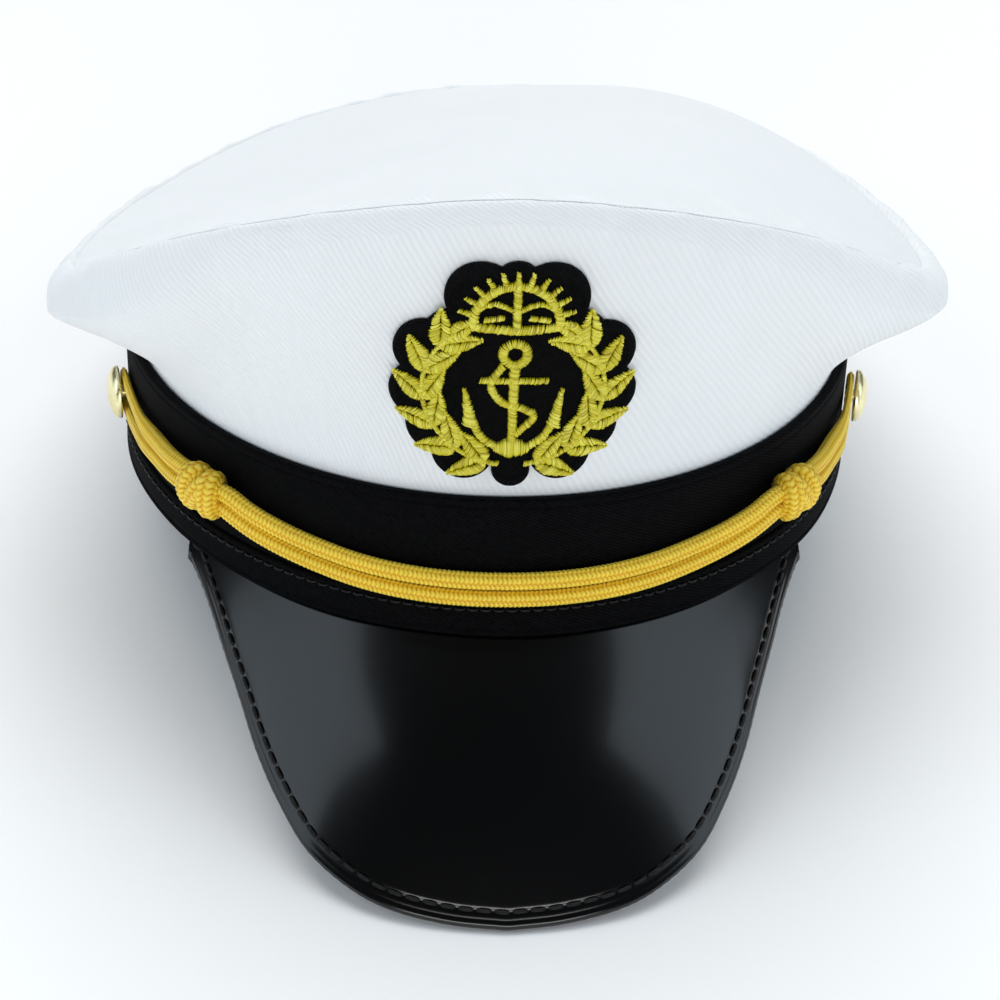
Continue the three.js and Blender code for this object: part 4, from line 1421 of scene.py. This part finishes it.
@dataclass
class CapCord:
    """The gold knitted cord: two strands in front, a loop round each button's shank, and two knots."""

    finishes: Finishes
    diameter: float = 3.8
    squeeze: float = 0.5
    knot_angle: float = 44.0
    knot_length: float = 11.0
    knot_height: float = 12.0
    knot_depth: float = 8.0
    knot_rise: float = 7.5
    sides: int = 32
    step: float = 0.2
    stitch_pitch: float = 0.96
    knit_depth: float = 0.27
    groove_depth: float = 0.42
    rib_turn: float = 1.02
    knot_grip: float = 0.75
    knot_lift: float = 0.8
    loop_radius: float = 3.7
    loop_seat: float = 1.25
    button_ring: float = 106.7

    @property
    def pitch(self) -> float:
        """Distance between the two front strands' middles."""
        return self.diameter + FORM.gap

    @property
    def seat(self) -> float:
        """Reach of a strand's middle."""
        return FORM.gap + self.diameter / 2

    @property
    def cord_z(self) -> float:
        """Height between the two front strands."""
        return FORM.hem_height + FORM.gap + self.diameter / 2 + self.pitch / 2

    @property
    def knot_reach(self) -> float:
        """Reach of a knot's middle."""
        return FORM.gap + self.knot_depth / 2

    @property
    def half_turn(self) -> float:
        """Half a knot's length as an angle."""
        return math.degrees(self.knot_length / 2 / (FORM.half_width + self.seat))

    def knitted(
        self, parts: MeshParts, path: Array, out: Array, flat: Array, radius: float, closed: bool,
    ) -> None:
        """Adds a knitted tube: four ribs along it, each a row of V stitches.

        Args:
            parts: the mesh to add to.
            path: (n, 3) middle line.
            out: (n, 3) the side that faces away from the cap.
            flat: (n,) share of the radius square to the cap.
            radius: the tube's radius.
            closed: whether it is a ring.
        """
        if closed:
            along = unit(np.roll(path, -1, axis=0) - np.roll(path, 1, axis=0))
        else:
            along = unit(np.gradient(path, axis=0))
        out = unit(out - along * np.sum(out * along, axis=1, keepdims=True))
        across = np.cross(along, out)
        lengths = line_lengths(path)
        pitch = self.stitch_pitch
        if closed:
            whole = lengths[-1] + np.linalg.norm(path[0] - path[-1])
            pitch = whole / round(whole / pitch)
        turn = (np.arange(self.sides) + 0.5) / self.sides * 2 * np.pi - np.pi
        folded = np.abs(turn)
        lobe = np.abs(np.mod(folded + 1e-6, self.rib_turn) / self.rib_turn - 0.5) * 2
        groove = smoothstep(lobe, 0.62, 1.0) * np.where(folded < 0.3, 1.25, 0.8)
        phase = lengths[:, None] / pitch + 0.42 * lobe + np.where(turn > 0, 0.0, 0.5)
        knit = np.abs(np.sin(np.pi * phase)) ** 0.7
        # relief only sets the yarn's colour: a painted highlight on the stitch tops and painted shade in the
        # grooves between the ribs
        relief = knit * (1 - 0.75 * groove)
        r = radius - self.knit_depth * (1 - knit) * (1 - groove) - self.groove_depth * groove
        body = 0.92 + 0.08 * np.abs(np.sin(turn))
        ring = out[:, None] * (np.cos(turn) * body)[:, None] * flat[:, None, None]
        ring = ring + across[:, None] * np.sin(turn)[:, None]
        points = path[:, None] + ring * r[..., None]
        uv_rows = np.append(lengths, lengths[-1] + pitch) if closed else lengths
        uv = uv_grid(ring_lengths(self.sides, radius), uv_rows)
        parts.grid(points, uv, relief, wrap_rows=closed, poles=not closed)

    def outs(self, path: Array) -> Array:
        """Directions away from the cap at each point of a path."""
        return unit(path / np.array([FORM.half_width**2, FORM.half_depth**2, 1]) * np.array([1, 1, 0]))

    def finish(self, parts: MeshParts, name: str, node: str) -> Object:
        """Makes a piece of the cord that stands for a CAD node."""
        return parts.build(name, self.finishes.cord, "gold_cord", (node,), sharp=180)

    def build_front(self, row: int) -> Object:
        """A front strand.

        Args:
            row: 1 for the upper one and -1 for the lower.

        Returns:
            The object.
        """
        mouth = self.knot_angle - self.half_turn
        end = mouth + self.half_turn * self.knot_grip
        angle = end * np.linspace(-1, 1, 25)
        lift = smoothstep(np.abs(angle), mouth - 16, mouth)
        rise = self.knot_rise * np.minimum(1, np.abs(angle) / mouth) ** 3
        close = 1 - 0.45 * smoothstep(np.abs(angle), mouth, end)
        reach = self.seat + lift * self.knot_lift * (self.knot_reach - self.seat)
        knots = FORM.around(angle, reach, self.cord_z + rise + row * self.pitch / 2 * close)
        path = even(catmull(knots, 900), self.step)
        parts = MeshParts()
        self.knitted(parts, path, self.outs(path), np.ones(len(path)), self.diameter / 2, False)
        name = "cord_upper_strand" if row > 0 else "cord_lower_strand"
        node = "cord_front_upper" if row > 0 else "cord_front_lower"
        return self.finish(parts, name, node)

    def build_loop(self, side: int) -> Object:
        """The cord from a knot round its button's shank and back.

        Args:
            side: 1 at +X and -1 at -X.

        Returns:
            The object.
        """
        mouth = self.knot_angle + self.half_turn
        start = mouth - self.half_turn * self.knot_grip
        knot_z = self.cord_z + self.knot_rise
        angle = start + (FORM.button_angle - start) * np.arange(6) / 5
        share = np.maximum(0, (angle - mouth) / (FORM.button_angle - mouth))
        lift = (1 - smoothstep(share, 0, 0.45)) * self.knot_lift * (self.knot_reach - self.seat)
        seat = self.seat + (self.loop_seat - self.seat) * smoothstep(share, 0.5, 0.9)
        spread = self.pitch / 2 + (self.loop_radius - self.pitch / 2) * smoothstep(share, 0.3, 1)
        height = knot_z + (FORM.button_z - knot_z) * share
        halves = [FORM.around(side * angle, seat + lift, height + row * spread) for row in (1, -1)]
        bend = np.radians([45, 0, -45])
        round_shank = FORM.around(
            side * (FORM.button_angle + np.degrees(self.loop_radius * np.cos(bend) / self.button_ring)),
            self.loop_seat, FORM.button_z + self.loop_radius * np.sin(bend),
        )
        path = even(catmull(np.concatenate((halves[0], round_shank, halves[1][::-1])), 1200), self.step)
        t = np.linspace(0, 1, len(path))
        flat = 1 - self.squeeze * smoothstep(0.5 - np.abs(t - 0.5), 0.18, 0.32)
        parts = MeshParts()
        self.knitted(parts, path, self.outs(path), flat, self.diameter / 2, False)
        word = side_word(side)
        return self.finish(parts, f"cord_{word}_loop", f"cord_loop_{word}")

    def build_knot(self, side: int) -> Object:
        """A knot: turns of the same knitted cord, drawn tight.

        Args:
            side: 1 at +X and -1 at -X.

        Returns:
            The object.
        """
        tube = 0.21 * self.knot_height
        ring = self.knot_height / 2 - tube
        degrees = np.float64(side * self.knot_angle)
        out = FORM.outwards(degrees)
        up = np.array([0.0, 0.0, 1.0])
        along = np.cross(up, out)
        centre = FORM.around(degrees, self.knot_reach, self.cord_z + self.knot_rise)
        parts = MeshParts()
        turn = np.linspace(0, 2 * np.pi, 110, endpoint=False)
        flat = np.stack((np.cos(turn), np.sin(turn), 0 * turn), axis=1)
        squash = np.array([1, 1, self.knot_depth / self.knot_height])
        for shift, lean, roll in ((-0.24, 72, 0), (0.24, 108, 0), (0, 90, 38 * side)):
            tilt = Matrix.Rotation(math.radians(lean), 3, "Y")
            spin = np.array(Matrix.Rotation(math.radians(roll), 3, "Z") @ tilt)
            circle = flat @ spin.T
            local = (circle * ring + np.array([shift * self.knot_length, 0, 0])) * squash
            path = centre + local[:, :1] * along + local[:, 1:2] * up + local[:, 2:] * out
            outward = circle[:, :1] * along + circle[:, 1:2] * up + circle[:, 2:] * out
            self.knitted(parts, path, outward, np.full(len(path), 0.92), tube, True)
        word = side_word(side)
        return self.finish(parts, f"cord_{word}_knot", f"knot_{word}")

    def build(self) -> None:
        """All of the cap cord."""
        for sign in (1, -1):
            self.build_front(sign)
            self.build_loop(sign)
            self.build_knot(sign)


@dataclass
class SideButtons:
    """The domed side buttons with their shanks."""

    finishes: Finishes
    radius: float = 6.2
    dome: float = 2.5
    sides: int = 72

    def profile(self) -> Array:
        """Radius and height of the shank, the back plate, the rim and the dome."""
        rise = np.linspace(0, np.pi / 2, 16)
        dome = np.stack((self.radius * np.cos(rise), 2.7 + self.dome * np.sin(rise)), axis=1)
        dome[-1, 0] = 0.05
        rim = np.array([[self.radius - 0.45, 2.2], [self.radius - 0.12, 2.28], [self.radius, 2.45]])
        return np.concatenate(([[0.05, 0], [1.5, 0], [1.5, 0.6], [1.5, 2.2], [3.5, 2.2]], rim, dome))

    def build_button(self, side: int) -> Object:
        """A button.

        Args:
            side: 1 at +X and -1 at -X.

        Returns:
            The object.
        """
        degrees = np.float64(side * FORM.button_angle)
        out, up = FORM.outwards(degrees), np.array([0.0, 0.0, 1.0])
        along = np.cross(up, out)
        centre = FORM.around(degrees, FORM.gap, FORM.button_z)
        line = self.profile()
        turn = np.arange(self.sides) / self.sides * 2 * np.pi
        ring = along * np.cos(turn)[:, None] + up * np.sin(turn)[:, None]
        points = centre + line[:, None, :1] * ring[None] + line[:, None, 1:] * out
        parts = MeshParts()
        parts.grid(points, uv_grid(ring_lengths(self.sides, self.radius), line_lengths(line)), poles=True)
        word = side_word(side)
        return parts.build(
            f"side_button_{word}", self.finishes.brass, "button_metal", (f"button_{word}",), sharp=50,
        )

    def build(self) -> None:
        """Both buttons."""
        for sign in (1, -1):
            self.build_button(sign)


UNDERSIDE_V = 9
PATCH_LOBES = (
    (0, -0.04, 0.36), (0.135, 0.355, 0.14), (0, 0.41, 0.09), (0.235, 0.17, 0.125), (0.345, 0.11, 0.13),
    (0.375, -0.08, 0.125), (0.31, -0.23, 0.125), (0.2, -0.34, 0.13), (0, -0.42, 0.08),
)


@dataclass
class Badge:
    """The badge: a scalloped felt patch with a satin-stitched anchor, laurel branches and plain coronet."""

    finishes: Finishes
    size: float = 51.0
    centre_z: float = 60.5
    thickness: float = 1.4
    lift: float = 0.45
    relief: float = 0.95
    thread_radius: float = 0.235
    thread_pitch: float = 0.4
    edge_width: float = 1.9
    edge_radius: float = 0.75
    panel_radius: float = 91.0
    branch_start: float = 6.0
    branch_turn: float = 136.0
    leaf_rows: int = 6
    leaf_splay: float = 38.0
    leaf_length: float = 0.168
    leaf_width: float = 0.082
    draws: np.random.Generator = field(default_factory=lambda: np.random.default_rng(7))
    angles: Array = field(default_factory=lambda: np.linspace(-24, 24, 97))
    heights: Array = field(default_factory=lambda: np.linspace(33, 96, 160))
    table: Array = field(init=False)

    def __post_init__(self) -> None:
        """Works out the front panel's reach once, for every angle and height of the table."""
        t = np.linspace(FORM.tuck_share, 0.93, 260)
        self.table = np.empty((len(self.angles), len(self.heights)))
        for k, angle in enumerate(self.angles):
            x, up = FORM.crown_line(np.full(len(t), angle), t)
            self.table[k] = np.interp(self.heights, np.maximum.accumulate(up) + np.arange(len(t)) * 1e-7, x)

    def panel_reach(self, degrees: Array, z: Array) -> Array:
        """The front panel's reach, between the table's numbers.

        Args:
            degrees: angles round the head.
            z: heights above the band's lower edge.

        Returns:
            Reaches of the shape of degrees.
        """
        angles, heights, table = self.angles, self.heights, self.table
        i = np.clip((degrees - angles[0]) / (angles[1] - angles[0]), 0, len(angles) - 1.001)
        j = np.clip((z - heights[0]) / (heights[1] - heights[0]), 0, len(heights) - 1.001)
        i0, j0 = i.astype(int), j.astype(int)
        fi, fj = i - i0, j - j0
        low = table[i0, j0] * (1 - fi) + table[i0 + 1, j0] * fi
        high = table[i0, j0 + 1] * (1 - fi) + table[i0 + 1, j0 + 1] * fi
        return low * (1 - fj) + high * fj

    def lay(self, flat: Array, depth: Array) -> tuple[Array, Array]:
        """Lays points drawn about the badge's middle on the front panel.

        Args:
            flat: (..., 2) across and up, in millimetres.
            depth: (...) distance out of the panel.

        Returns:
            The points and the directions out of the panel.
        """
        degrees = np.degrees(flat[..., 0] / self.panel_radius)
        z = self.centre_z + flat[..., 1]
        reach = self.panel_reach(degrees, z)
        tilt = (self.panel_reach(degrees, z + 1) - self.panel_reach(degrees, z - 1)) / 2
        out = unit(FORM.outwards(degrees) - tilt[..., None] * np.array([0, 0, 1.0]))
        return FORM.around(degrees, reach, z) + out * np.asarray(depth)[..., None], out

    def outline(self, directions: Array) -> Array:
        """How far the patch reaches from its middle.

        Args:
            directions: angles from straight up, in radians.

        Returns:
            Reaches in millimetres.
        """
        best = np.zeros(len(directions))
        for x, z, radius in PATCH_LOBES:
            for mirror in ((1, -1) if x else (1,)):
                middle = np.array([mirror * x, z]) * self.size
                ray = np.stack((np.sin(directions), np.cos(directions)), axis=1)
                toward = ray @ middle
                root = toward**2 - middle @ middle + (radius * self.size) ** 2
                best = np.where(root > 0, np.maximum(best, toward + np.sqrt(np.maximum(root, 0))), best)
        return best

    def build_patch(self) -> Object:
        """The felt patch with a rounded, close-stitched edge."""
        directions = np.linspace(0, 2 * np.pi, 480, endpoint=False)
        reach = self.outline(directions)
        inset = np.array([0, 0.05, 0.18, 0.38, 0.65, 1.0, 1.5, 1.9, 2.3, 3.0])
        rows = [reach - d for d in inset]
        rows += [(reach - 3.0) * s for s in np.linspace(0.92, 0.04, 14)]
        distance = np.concatenate((inset, np.linspace(4.5, 20, 14)))
        radius = self.edge_radius
        drop = radius - np.sqrt(np.maximum(radius**2 - np.clip(radius - distance, 0, radius) ** 2, 0))
        past_edge = smoothstep(distance, self.edge_width, self.edge_width + 0.6)
        swell = 0.25 * smoothstep(distance, 0, 0.8) * (1 - past_edge)
        height = self.lift + self.thickness - drop + swell
        flat = np.stack([np.stack((r * np.sin(directions), r * np.cos(directions)), axis=1) for r in rows])
        top, _ = self.lay(flat, np.repeat(height[:, None], len(directions), axis=1))
        under, _ = self.lay(flat[[0, 5, -1]], np.full((3, len(directions)), self.lift))
        points = np.concatenate((under[::-1], top))
        outline = np.stack((reach * np.sin(directions), reach * np.cos(directions)), axis=1)
        around = line_lengths(np.concatenate((outline, outline[:1])))
        across = np.concatenate(([UNDERSIDE_V] * len(under), distance))
        parts = MeshParts()
        parts.grid(points, uv_grid(around, across), poles=True)
        return parts.build("badge_felt_patch", self.finishes.felt, "badge_felt", ("badge_patch",))

    def satin(self, parts: MeshParts, middle: Array, half: Array, lean: Array, height: float) -> None:
        """Adds satin threads, each laid across a stroke.

        Args:
            parts: the mesh to add to.
            middle: (n, 2) each thread's middle on the badge, in millimetres.
            half: (n, 2) from its middle to one end.
            lean: (n,) how much further each lies off the felt.
            height: how far the middle of a thread stands off the felt.
        """
        count = len(middle)
        share = np.linspace(-1, 1, 7)
        jitter = self.draws.normal(0, 0.05, (count, 2))
        reach = 1 + self.draws.normal(0, 0.06, count)
        spans = share[None, :] * reach[:, None]
        flat = middle[:, None] + jitter[:, None] + half[:, None] * spans[..., None]
        rounded = np.sqrt(np.maximum(1 - 0.96 * share**2, 0))
        depth = self.lift + self.thickness - 0.12 + (height + lean[:, None]) * rounded[None, :]
        paths, outs = self.lay(flat, depth)
        thick = self.thread_radius * (1 + self.draws.normal(0, 0.08, count))
        radii = thick[:, None] * (1 - 0.35 * share**4)[None, :]
        parts.tubes(paths, outs, radii, np.clip(self.draws.normal(0.55, 0.22, count), 0, 1), 6)

    def stroke(self, parts: MeshParts, points: Points, start: float, end: float, smooth: bool = True) -> None:
        """A satin stroke along a line.

        Args:
            parts: the mesh to add to.
            points: the line, as shares of the badge's size.
            start: its width at the start, as a share.
            end: its width at the end.
            smooth: whether it curves through the points.
        """
        line = np.asarray(points, float) * self.size
        dense = catmull(line, 200) if smooth and len(line) > 2 else line
        path = even(dense, self.thread_pitch)
        along = unit(np.gradient(path, axis=0))
        across = np.stack((-along[:, 1], along[:, 0]), axis=1)
        width = np.linspace(start, end, len(path)) * self.size
        slant = 0.18 * along * width[:, None]
        self.satin(parts, path, across * width[:, None] / 2 + slant, np.zeros(len(path)), self.relief * 0.8)

    def ring(self, parts: MeshParts, centre: tuple[float, float], outer: float, hole: float) -> None:
        """A satin ring.

        Args:
            parts: the mesh to add to.
            centre: its middle, as shares of the badge's size.
            outer: its outer radius, as a share.
            hole: its inner radius, as a share.
        """
        turn = np.arange(0, 2 * np.pi, self.thread_pitch / (self.size * (outer + hole) / 2))
        ray = np.stack((np.sin(turn), np.cos(turn)), axis=1)
        middle = (np.array(centre) + ray * (outer + hole) / 2) * self.size
        half = ray * (outer - hole) / 2 * self.size
        self.satin(parts, middle, half, np.zeros(len(turn)), self.relief * 0.8)

    def leaf(self, parts: MeshParts, root: Array, angle: float, length: float, width: float) -> None:
        """A laurel leaf: slanting threads on both sides of its midrib.

        Args:
            parts: the mesh to add to.
            root: where it leaves the stem, as shares.
            angle: its direction, in radians from the badge's +X.
            length: its length as a share.
            width: its width as a share.
        """
        along = np.array([math.cos(angle), math.sin(angle)])
        across = np.array([-along[1], along[0]])
        count = max(8, int(length * self.size / self.thread_pitch))
        share = (np.arange(count) + 0.5) / count
        wide = width * self.size / 2 * np.sin(np.pi * share**0.85) ** 0.8 + 0.1
        for sign in (1, -1):
            base = root * self.size + along * (share * length * self.size)[:, None]
            half = (across * sign - 0.55 * along) * (wide / 2)[:, None]
            self.satin(parts, base + half * 1.06, half, self.draws.normal(0, 0.05, count), self.relief * 0.7)

    def finish(self, parts: MeshParts, name: str, node: str) -> Object:
        """Makes a stitched figure that stands for a CAD node."""
        return parts.build(name, self.finishes.gold_thread, "badge_thread", (node,), sharp=180)

    def build_anchor(self) -> Object:
        """The anchor with its rope."""
        parts = MeshParts()
        self.ring(parts, (0, 0.115), 0.066, 0.03)
        self.stroke(parts, ((0, 0.07), (0, -0.31)), 0.04, 0.032, False)
        self.stroke(parts, ((-0.13, -0.005), (0.13, -0.005)), 0.026, 0.026, False)
        arms = ((-0.165, -0.2), (-0.11, -0.28), (0, -0.325), (0.11, -0.28), (0.165, -0.2))
        self.stroke(parts, arms, 0.032, 0.032)
        rope = ((-0.045, 0.06), (-0.09, -0.02), (-0.05, -0.1), (0.03, -0.13), (0.085, -0.17), (0.015, -0.25))
        self.stroke(parts, rope, 0.03, 0.03)
        turn = np.linspace(-1, 1, 20)
        plate = np.stack((0.068 * turn, np.full(20, -0.315)), axis=1) * self.size
        half = np.stack((0 * turn, 0.042 * np.sqrt(np.maximum(1 - turn**2, 0.05)) * self.size), axis=1)
        self.satin(parts, plate, half, np.full(20, 0.1), self.relief)
        for side in (1, -1):
            self.stroke(parts, ((side * 0.192, -0.045), (side * 0.165, -0.215)), 0.012, 0.06, False)
        return self.finish(parts, "anchor_stitching", "badge_anchor")

    def build_branch(self, side: int) -> Object:
        """A laurel branch.

        Args:
            side: 1 at +X and -1 at -X.

        Returns:
            The object.
        """
        def stem(turn: float) -> Array:
            """The stem's point at an angle in degrees."""
            angle = math.radians(turn)
            return np.array([side * (0.02 + 0.34 * math.sin(angle)), -0.06 - 0.33 * math.cos(angle)])

        parts = MeshParts()
        end = self.branch_start + self.branch_turn
        line = [stem(self.branch_start + self.branch_turn * k / 12) for k in range(13)]
        self.stroke(parts, line, 0.02, 0.014)
        for row in range(self.leaf_rows):
            turn = self.branch_start + self.branch_turn * (row + 0.4) / self.leaf_rows
            ahead = stem(turn + 2) - stem(turn)
            heading = math.atan2(ahead[1], ahead[0])
            for splay in (-self.leaf_splay, self.leaf_splay):
                self.leaf(parts, stem(turn), heading + math.radians(splay), self.leaf_length, self.leaf_width)
        tip = stem(end) - stem(end - 2)
        self.leaf(parts, stem(end - 2), math.atan2(tip[1], tip[0]), 0.12, 0.065)
        word = side_word(side)
        return self.finish(parts, f"laurel_stitching_{word}", f"badge_wreath_{word}")

    def build_coronet(self) -> Object:
        """The plain coronet with its short rays."""
        parts = MeshParts()

        def arch(degrees: float, spare: float = 0.0) -> Array:
            """A point of the arch, spare further out."""
            turn = math.radians(degrees)
            return np.array([(0.165 + spare) * math.cos(turn), 0.235 + (0.175 + spare) * math.sin(turn)])

        self.stroke(parts, [arch(a) for a in np.linspace(0, 180, 25)], 0.034, 0.034)
        self.stroke(parts, ((-0.165, 0.235), (0, 0.22), (0.165, 0.235)), 0.036, 0.036)
        self.stroke(parts, ((0, 0.22), (0, 0.42)), 0.03, 0.03, False)
        for side in (1, -1):
            self.stroke(parts, ((side * 0.15, 0.31), (side * 0.08, 0.335), (0, 0.3)), 0.018, 0.018)
            self.stroke(parts, ((side * 0.12, 0.265), (side * 0.05, 0.275)), 0.02, 0.02, False)
        for degrees in np.linspace(2, 178, 13):
            self.stroke(parts, (arch(degrees, 0.018), arch(degrees, 0.06)), 0.022, 0.012, False)
        return self.finish(parts, "coronet_stitching", "badge_coronet")

    def build(self) -> None:
        """The whole badge."""
        self.build_patch()
        self.build_anchor()
        self.build_branch(1)
        self.build_branch(-1)
        self.build_coronet()


class LampRow(NamedTuple):
    """A soft area lamp: its name, place, aim and size in metres, its power in watts and its colour."""

    name: str
    place: Triple
    aim: Triple
    size: tuple[float, float]
    power: float
    colour: Triple


LAMPS = (
    LampRow("overhead", (0, 0.75, 1.45), (0, 0, 0.05), (2.0, 1.3), 10, (1, 1, 1)),
    LampRow("left_box", (-1.25, -0.31, 0.85), (0, -0.23, 0.05), (0.97, 1.7), 9, (0.78, 0.9, 1)),
    LampRow("right_box", (1.25, -0.31, 0.85), (0, -0.23, 0.05), (0.97, 1.7), 9, (0.78, 0.9, 1)),
    LampRow("front_fill", (0, -1.95, 0.5), (0, 0, 0.05), (1.6, 0.5), 15, (1, 1, 1)),
)


@dataclass
class Studio:
    """The pale floor, the soft lamps and the camera at the picture's viewing angle."""

    finishes: Finishes
    target: Triple = (4.7, 0.0, -26.3)
    elevation: float = 29.2
    azimuth: float = -3.6
    roll: float = 1.9
    distance: float = 560.0
    focal: float = 2182.0
    picture: float = 1000.0
    sensor: float = 36.0
    sky_power: float = 1.65
    sky_spread: float = 60.0
    sky_tilt: float = 32.0
    room_colour: Triple = (0.95, 0.97, 1)
    room_power: float = 0.06
    floor_size: float = 60.0
    clip_range: tuple[float, float] = (0.01, 100)

    def build_floor(self) -> None:
        """A wide level floor, far enough out to fill the view."""
        bpy.ops.mesh.primitive_plane_add(size=self.floor_size, location=(0, 0, 0))
        floor = bpy.context.object
        floor.name = "studio_floor"
        floor.data.materials.append(self.finishes.floor)

    def build_lamps(self) -> None:
        """The lamps and the dim room light."""
        for row in LAMPS:
            lamp = bpy.data.lights.new(row.name, "AREA")
            lamp.shape = "RECTANGLE"
            lamp.size, lamp.size_y = row.size
            lamp.energy = row.power
            lamp.color = row.colour
            holder = bpy.data.objects.new(row.name, lamp)
            bpy.context.scene.collection.objects.link(holder)
            place, aim = np.array(row.place), np.array(row.aim)
            back = unit(place - aim)
            right = unit(np.cross([0, 0, 1.0], back))
            frame_axes = np.stack((right, np.cross(back, right), back), axis=1)
            holder.matrix_world = Matrix.Translation(row.place) @ Matrix(frame_axes.tolist()).to_4x4()
        sky = bpy.data.lights.new("high_soft_light", "SUN")
        sky.energy, sky.angle = self.sky_power, math.radians(self.sky_spread)
        holder = bpy.data.objects.new("high_soft_light", sky)
        holder.rotation_euler = (math.radians(-self.sky_tilt), 0, 0)
        bpy.context.scene.collection.objects.link(holder)
        world = bpy.data.worlds.new("room")
        world.use_nodes = True
        ground = world.node_tree.nodes["Background"]
        ground.inputs["Color"].default_value = (*self.room_colour, 1)
        ground.inputs["Strength"].default_value = self.room_power
        bpy.context.scene.world = world

    def build_camera(self) -> None:
        """The camera, set in the cap's frame by its angle to the cap."""
        e, a, roll = (math.radians(x) for x in (self.elevation, self.azimuth, self.roll))
        back = np.array([math.sin(a) * math.cos(e), -math.cos(a) * math.cos(e), math.sin(e)])
        right = unit(np.cross(-back, [0, 0, 1.0]))
        up = np.cross(right, -back)
        r = right * math.cos(roll) + up * math.sin(roll)
        u = -right * math.sin(roll) + up * math.cos(roll)
        place = np.array(self.target) + back * self.distance
        turn = unit(PLACE_ARRAY[:3, :3].T).T
        camera = bpy.data.objects.new("camera", bpy.data.cameras.new("camera"))
        bpy.context.scene.collection.objects.link(camera)
        axes = turn @ np.stack((r, u, back), axis=1)
        matrix = Matrix(axes.tolist()).to_4x4()
        matrix.translation = (PLACE_ARRAY[:3, :3] @ place + PLACE_ARRAY[:3, 3]).tolist()
        camera.matrix_world = matrix
        camera.data.sensor_width = self.sensor
        camera.data.lens = self.focal / self.picture * self.sensor
        camera.data.clip_start, camera.data.clip_end = self.clip_range
        bpy.context.scene.camera = camera

    def build(self) -> None:
        """Floor, lamps, camera and plain colours."""
        self.build_floor()
        self.build_lamps()
        self.build_camera()
        bpy.context.scene.view_settings.view_transform = "Standard"


def main() -> None:
    """Builds the cap's pieces in order, then the studio."""
    logging.basicConfig(level=logging.INFO, format="%(name)s: %(message)s")
    finishes = Finishes()
    crown = Crown(finishes)
    crown.build_side()
    crown.build_top()
    Band(finishes).build()
    Peak(finishes).build()
    CapCord(finishes).build()
    SideButtons(finishes).build()
    Badge(finishes).build()
    Studio(finishes).build()


if __name__ == "__main__":
    main()
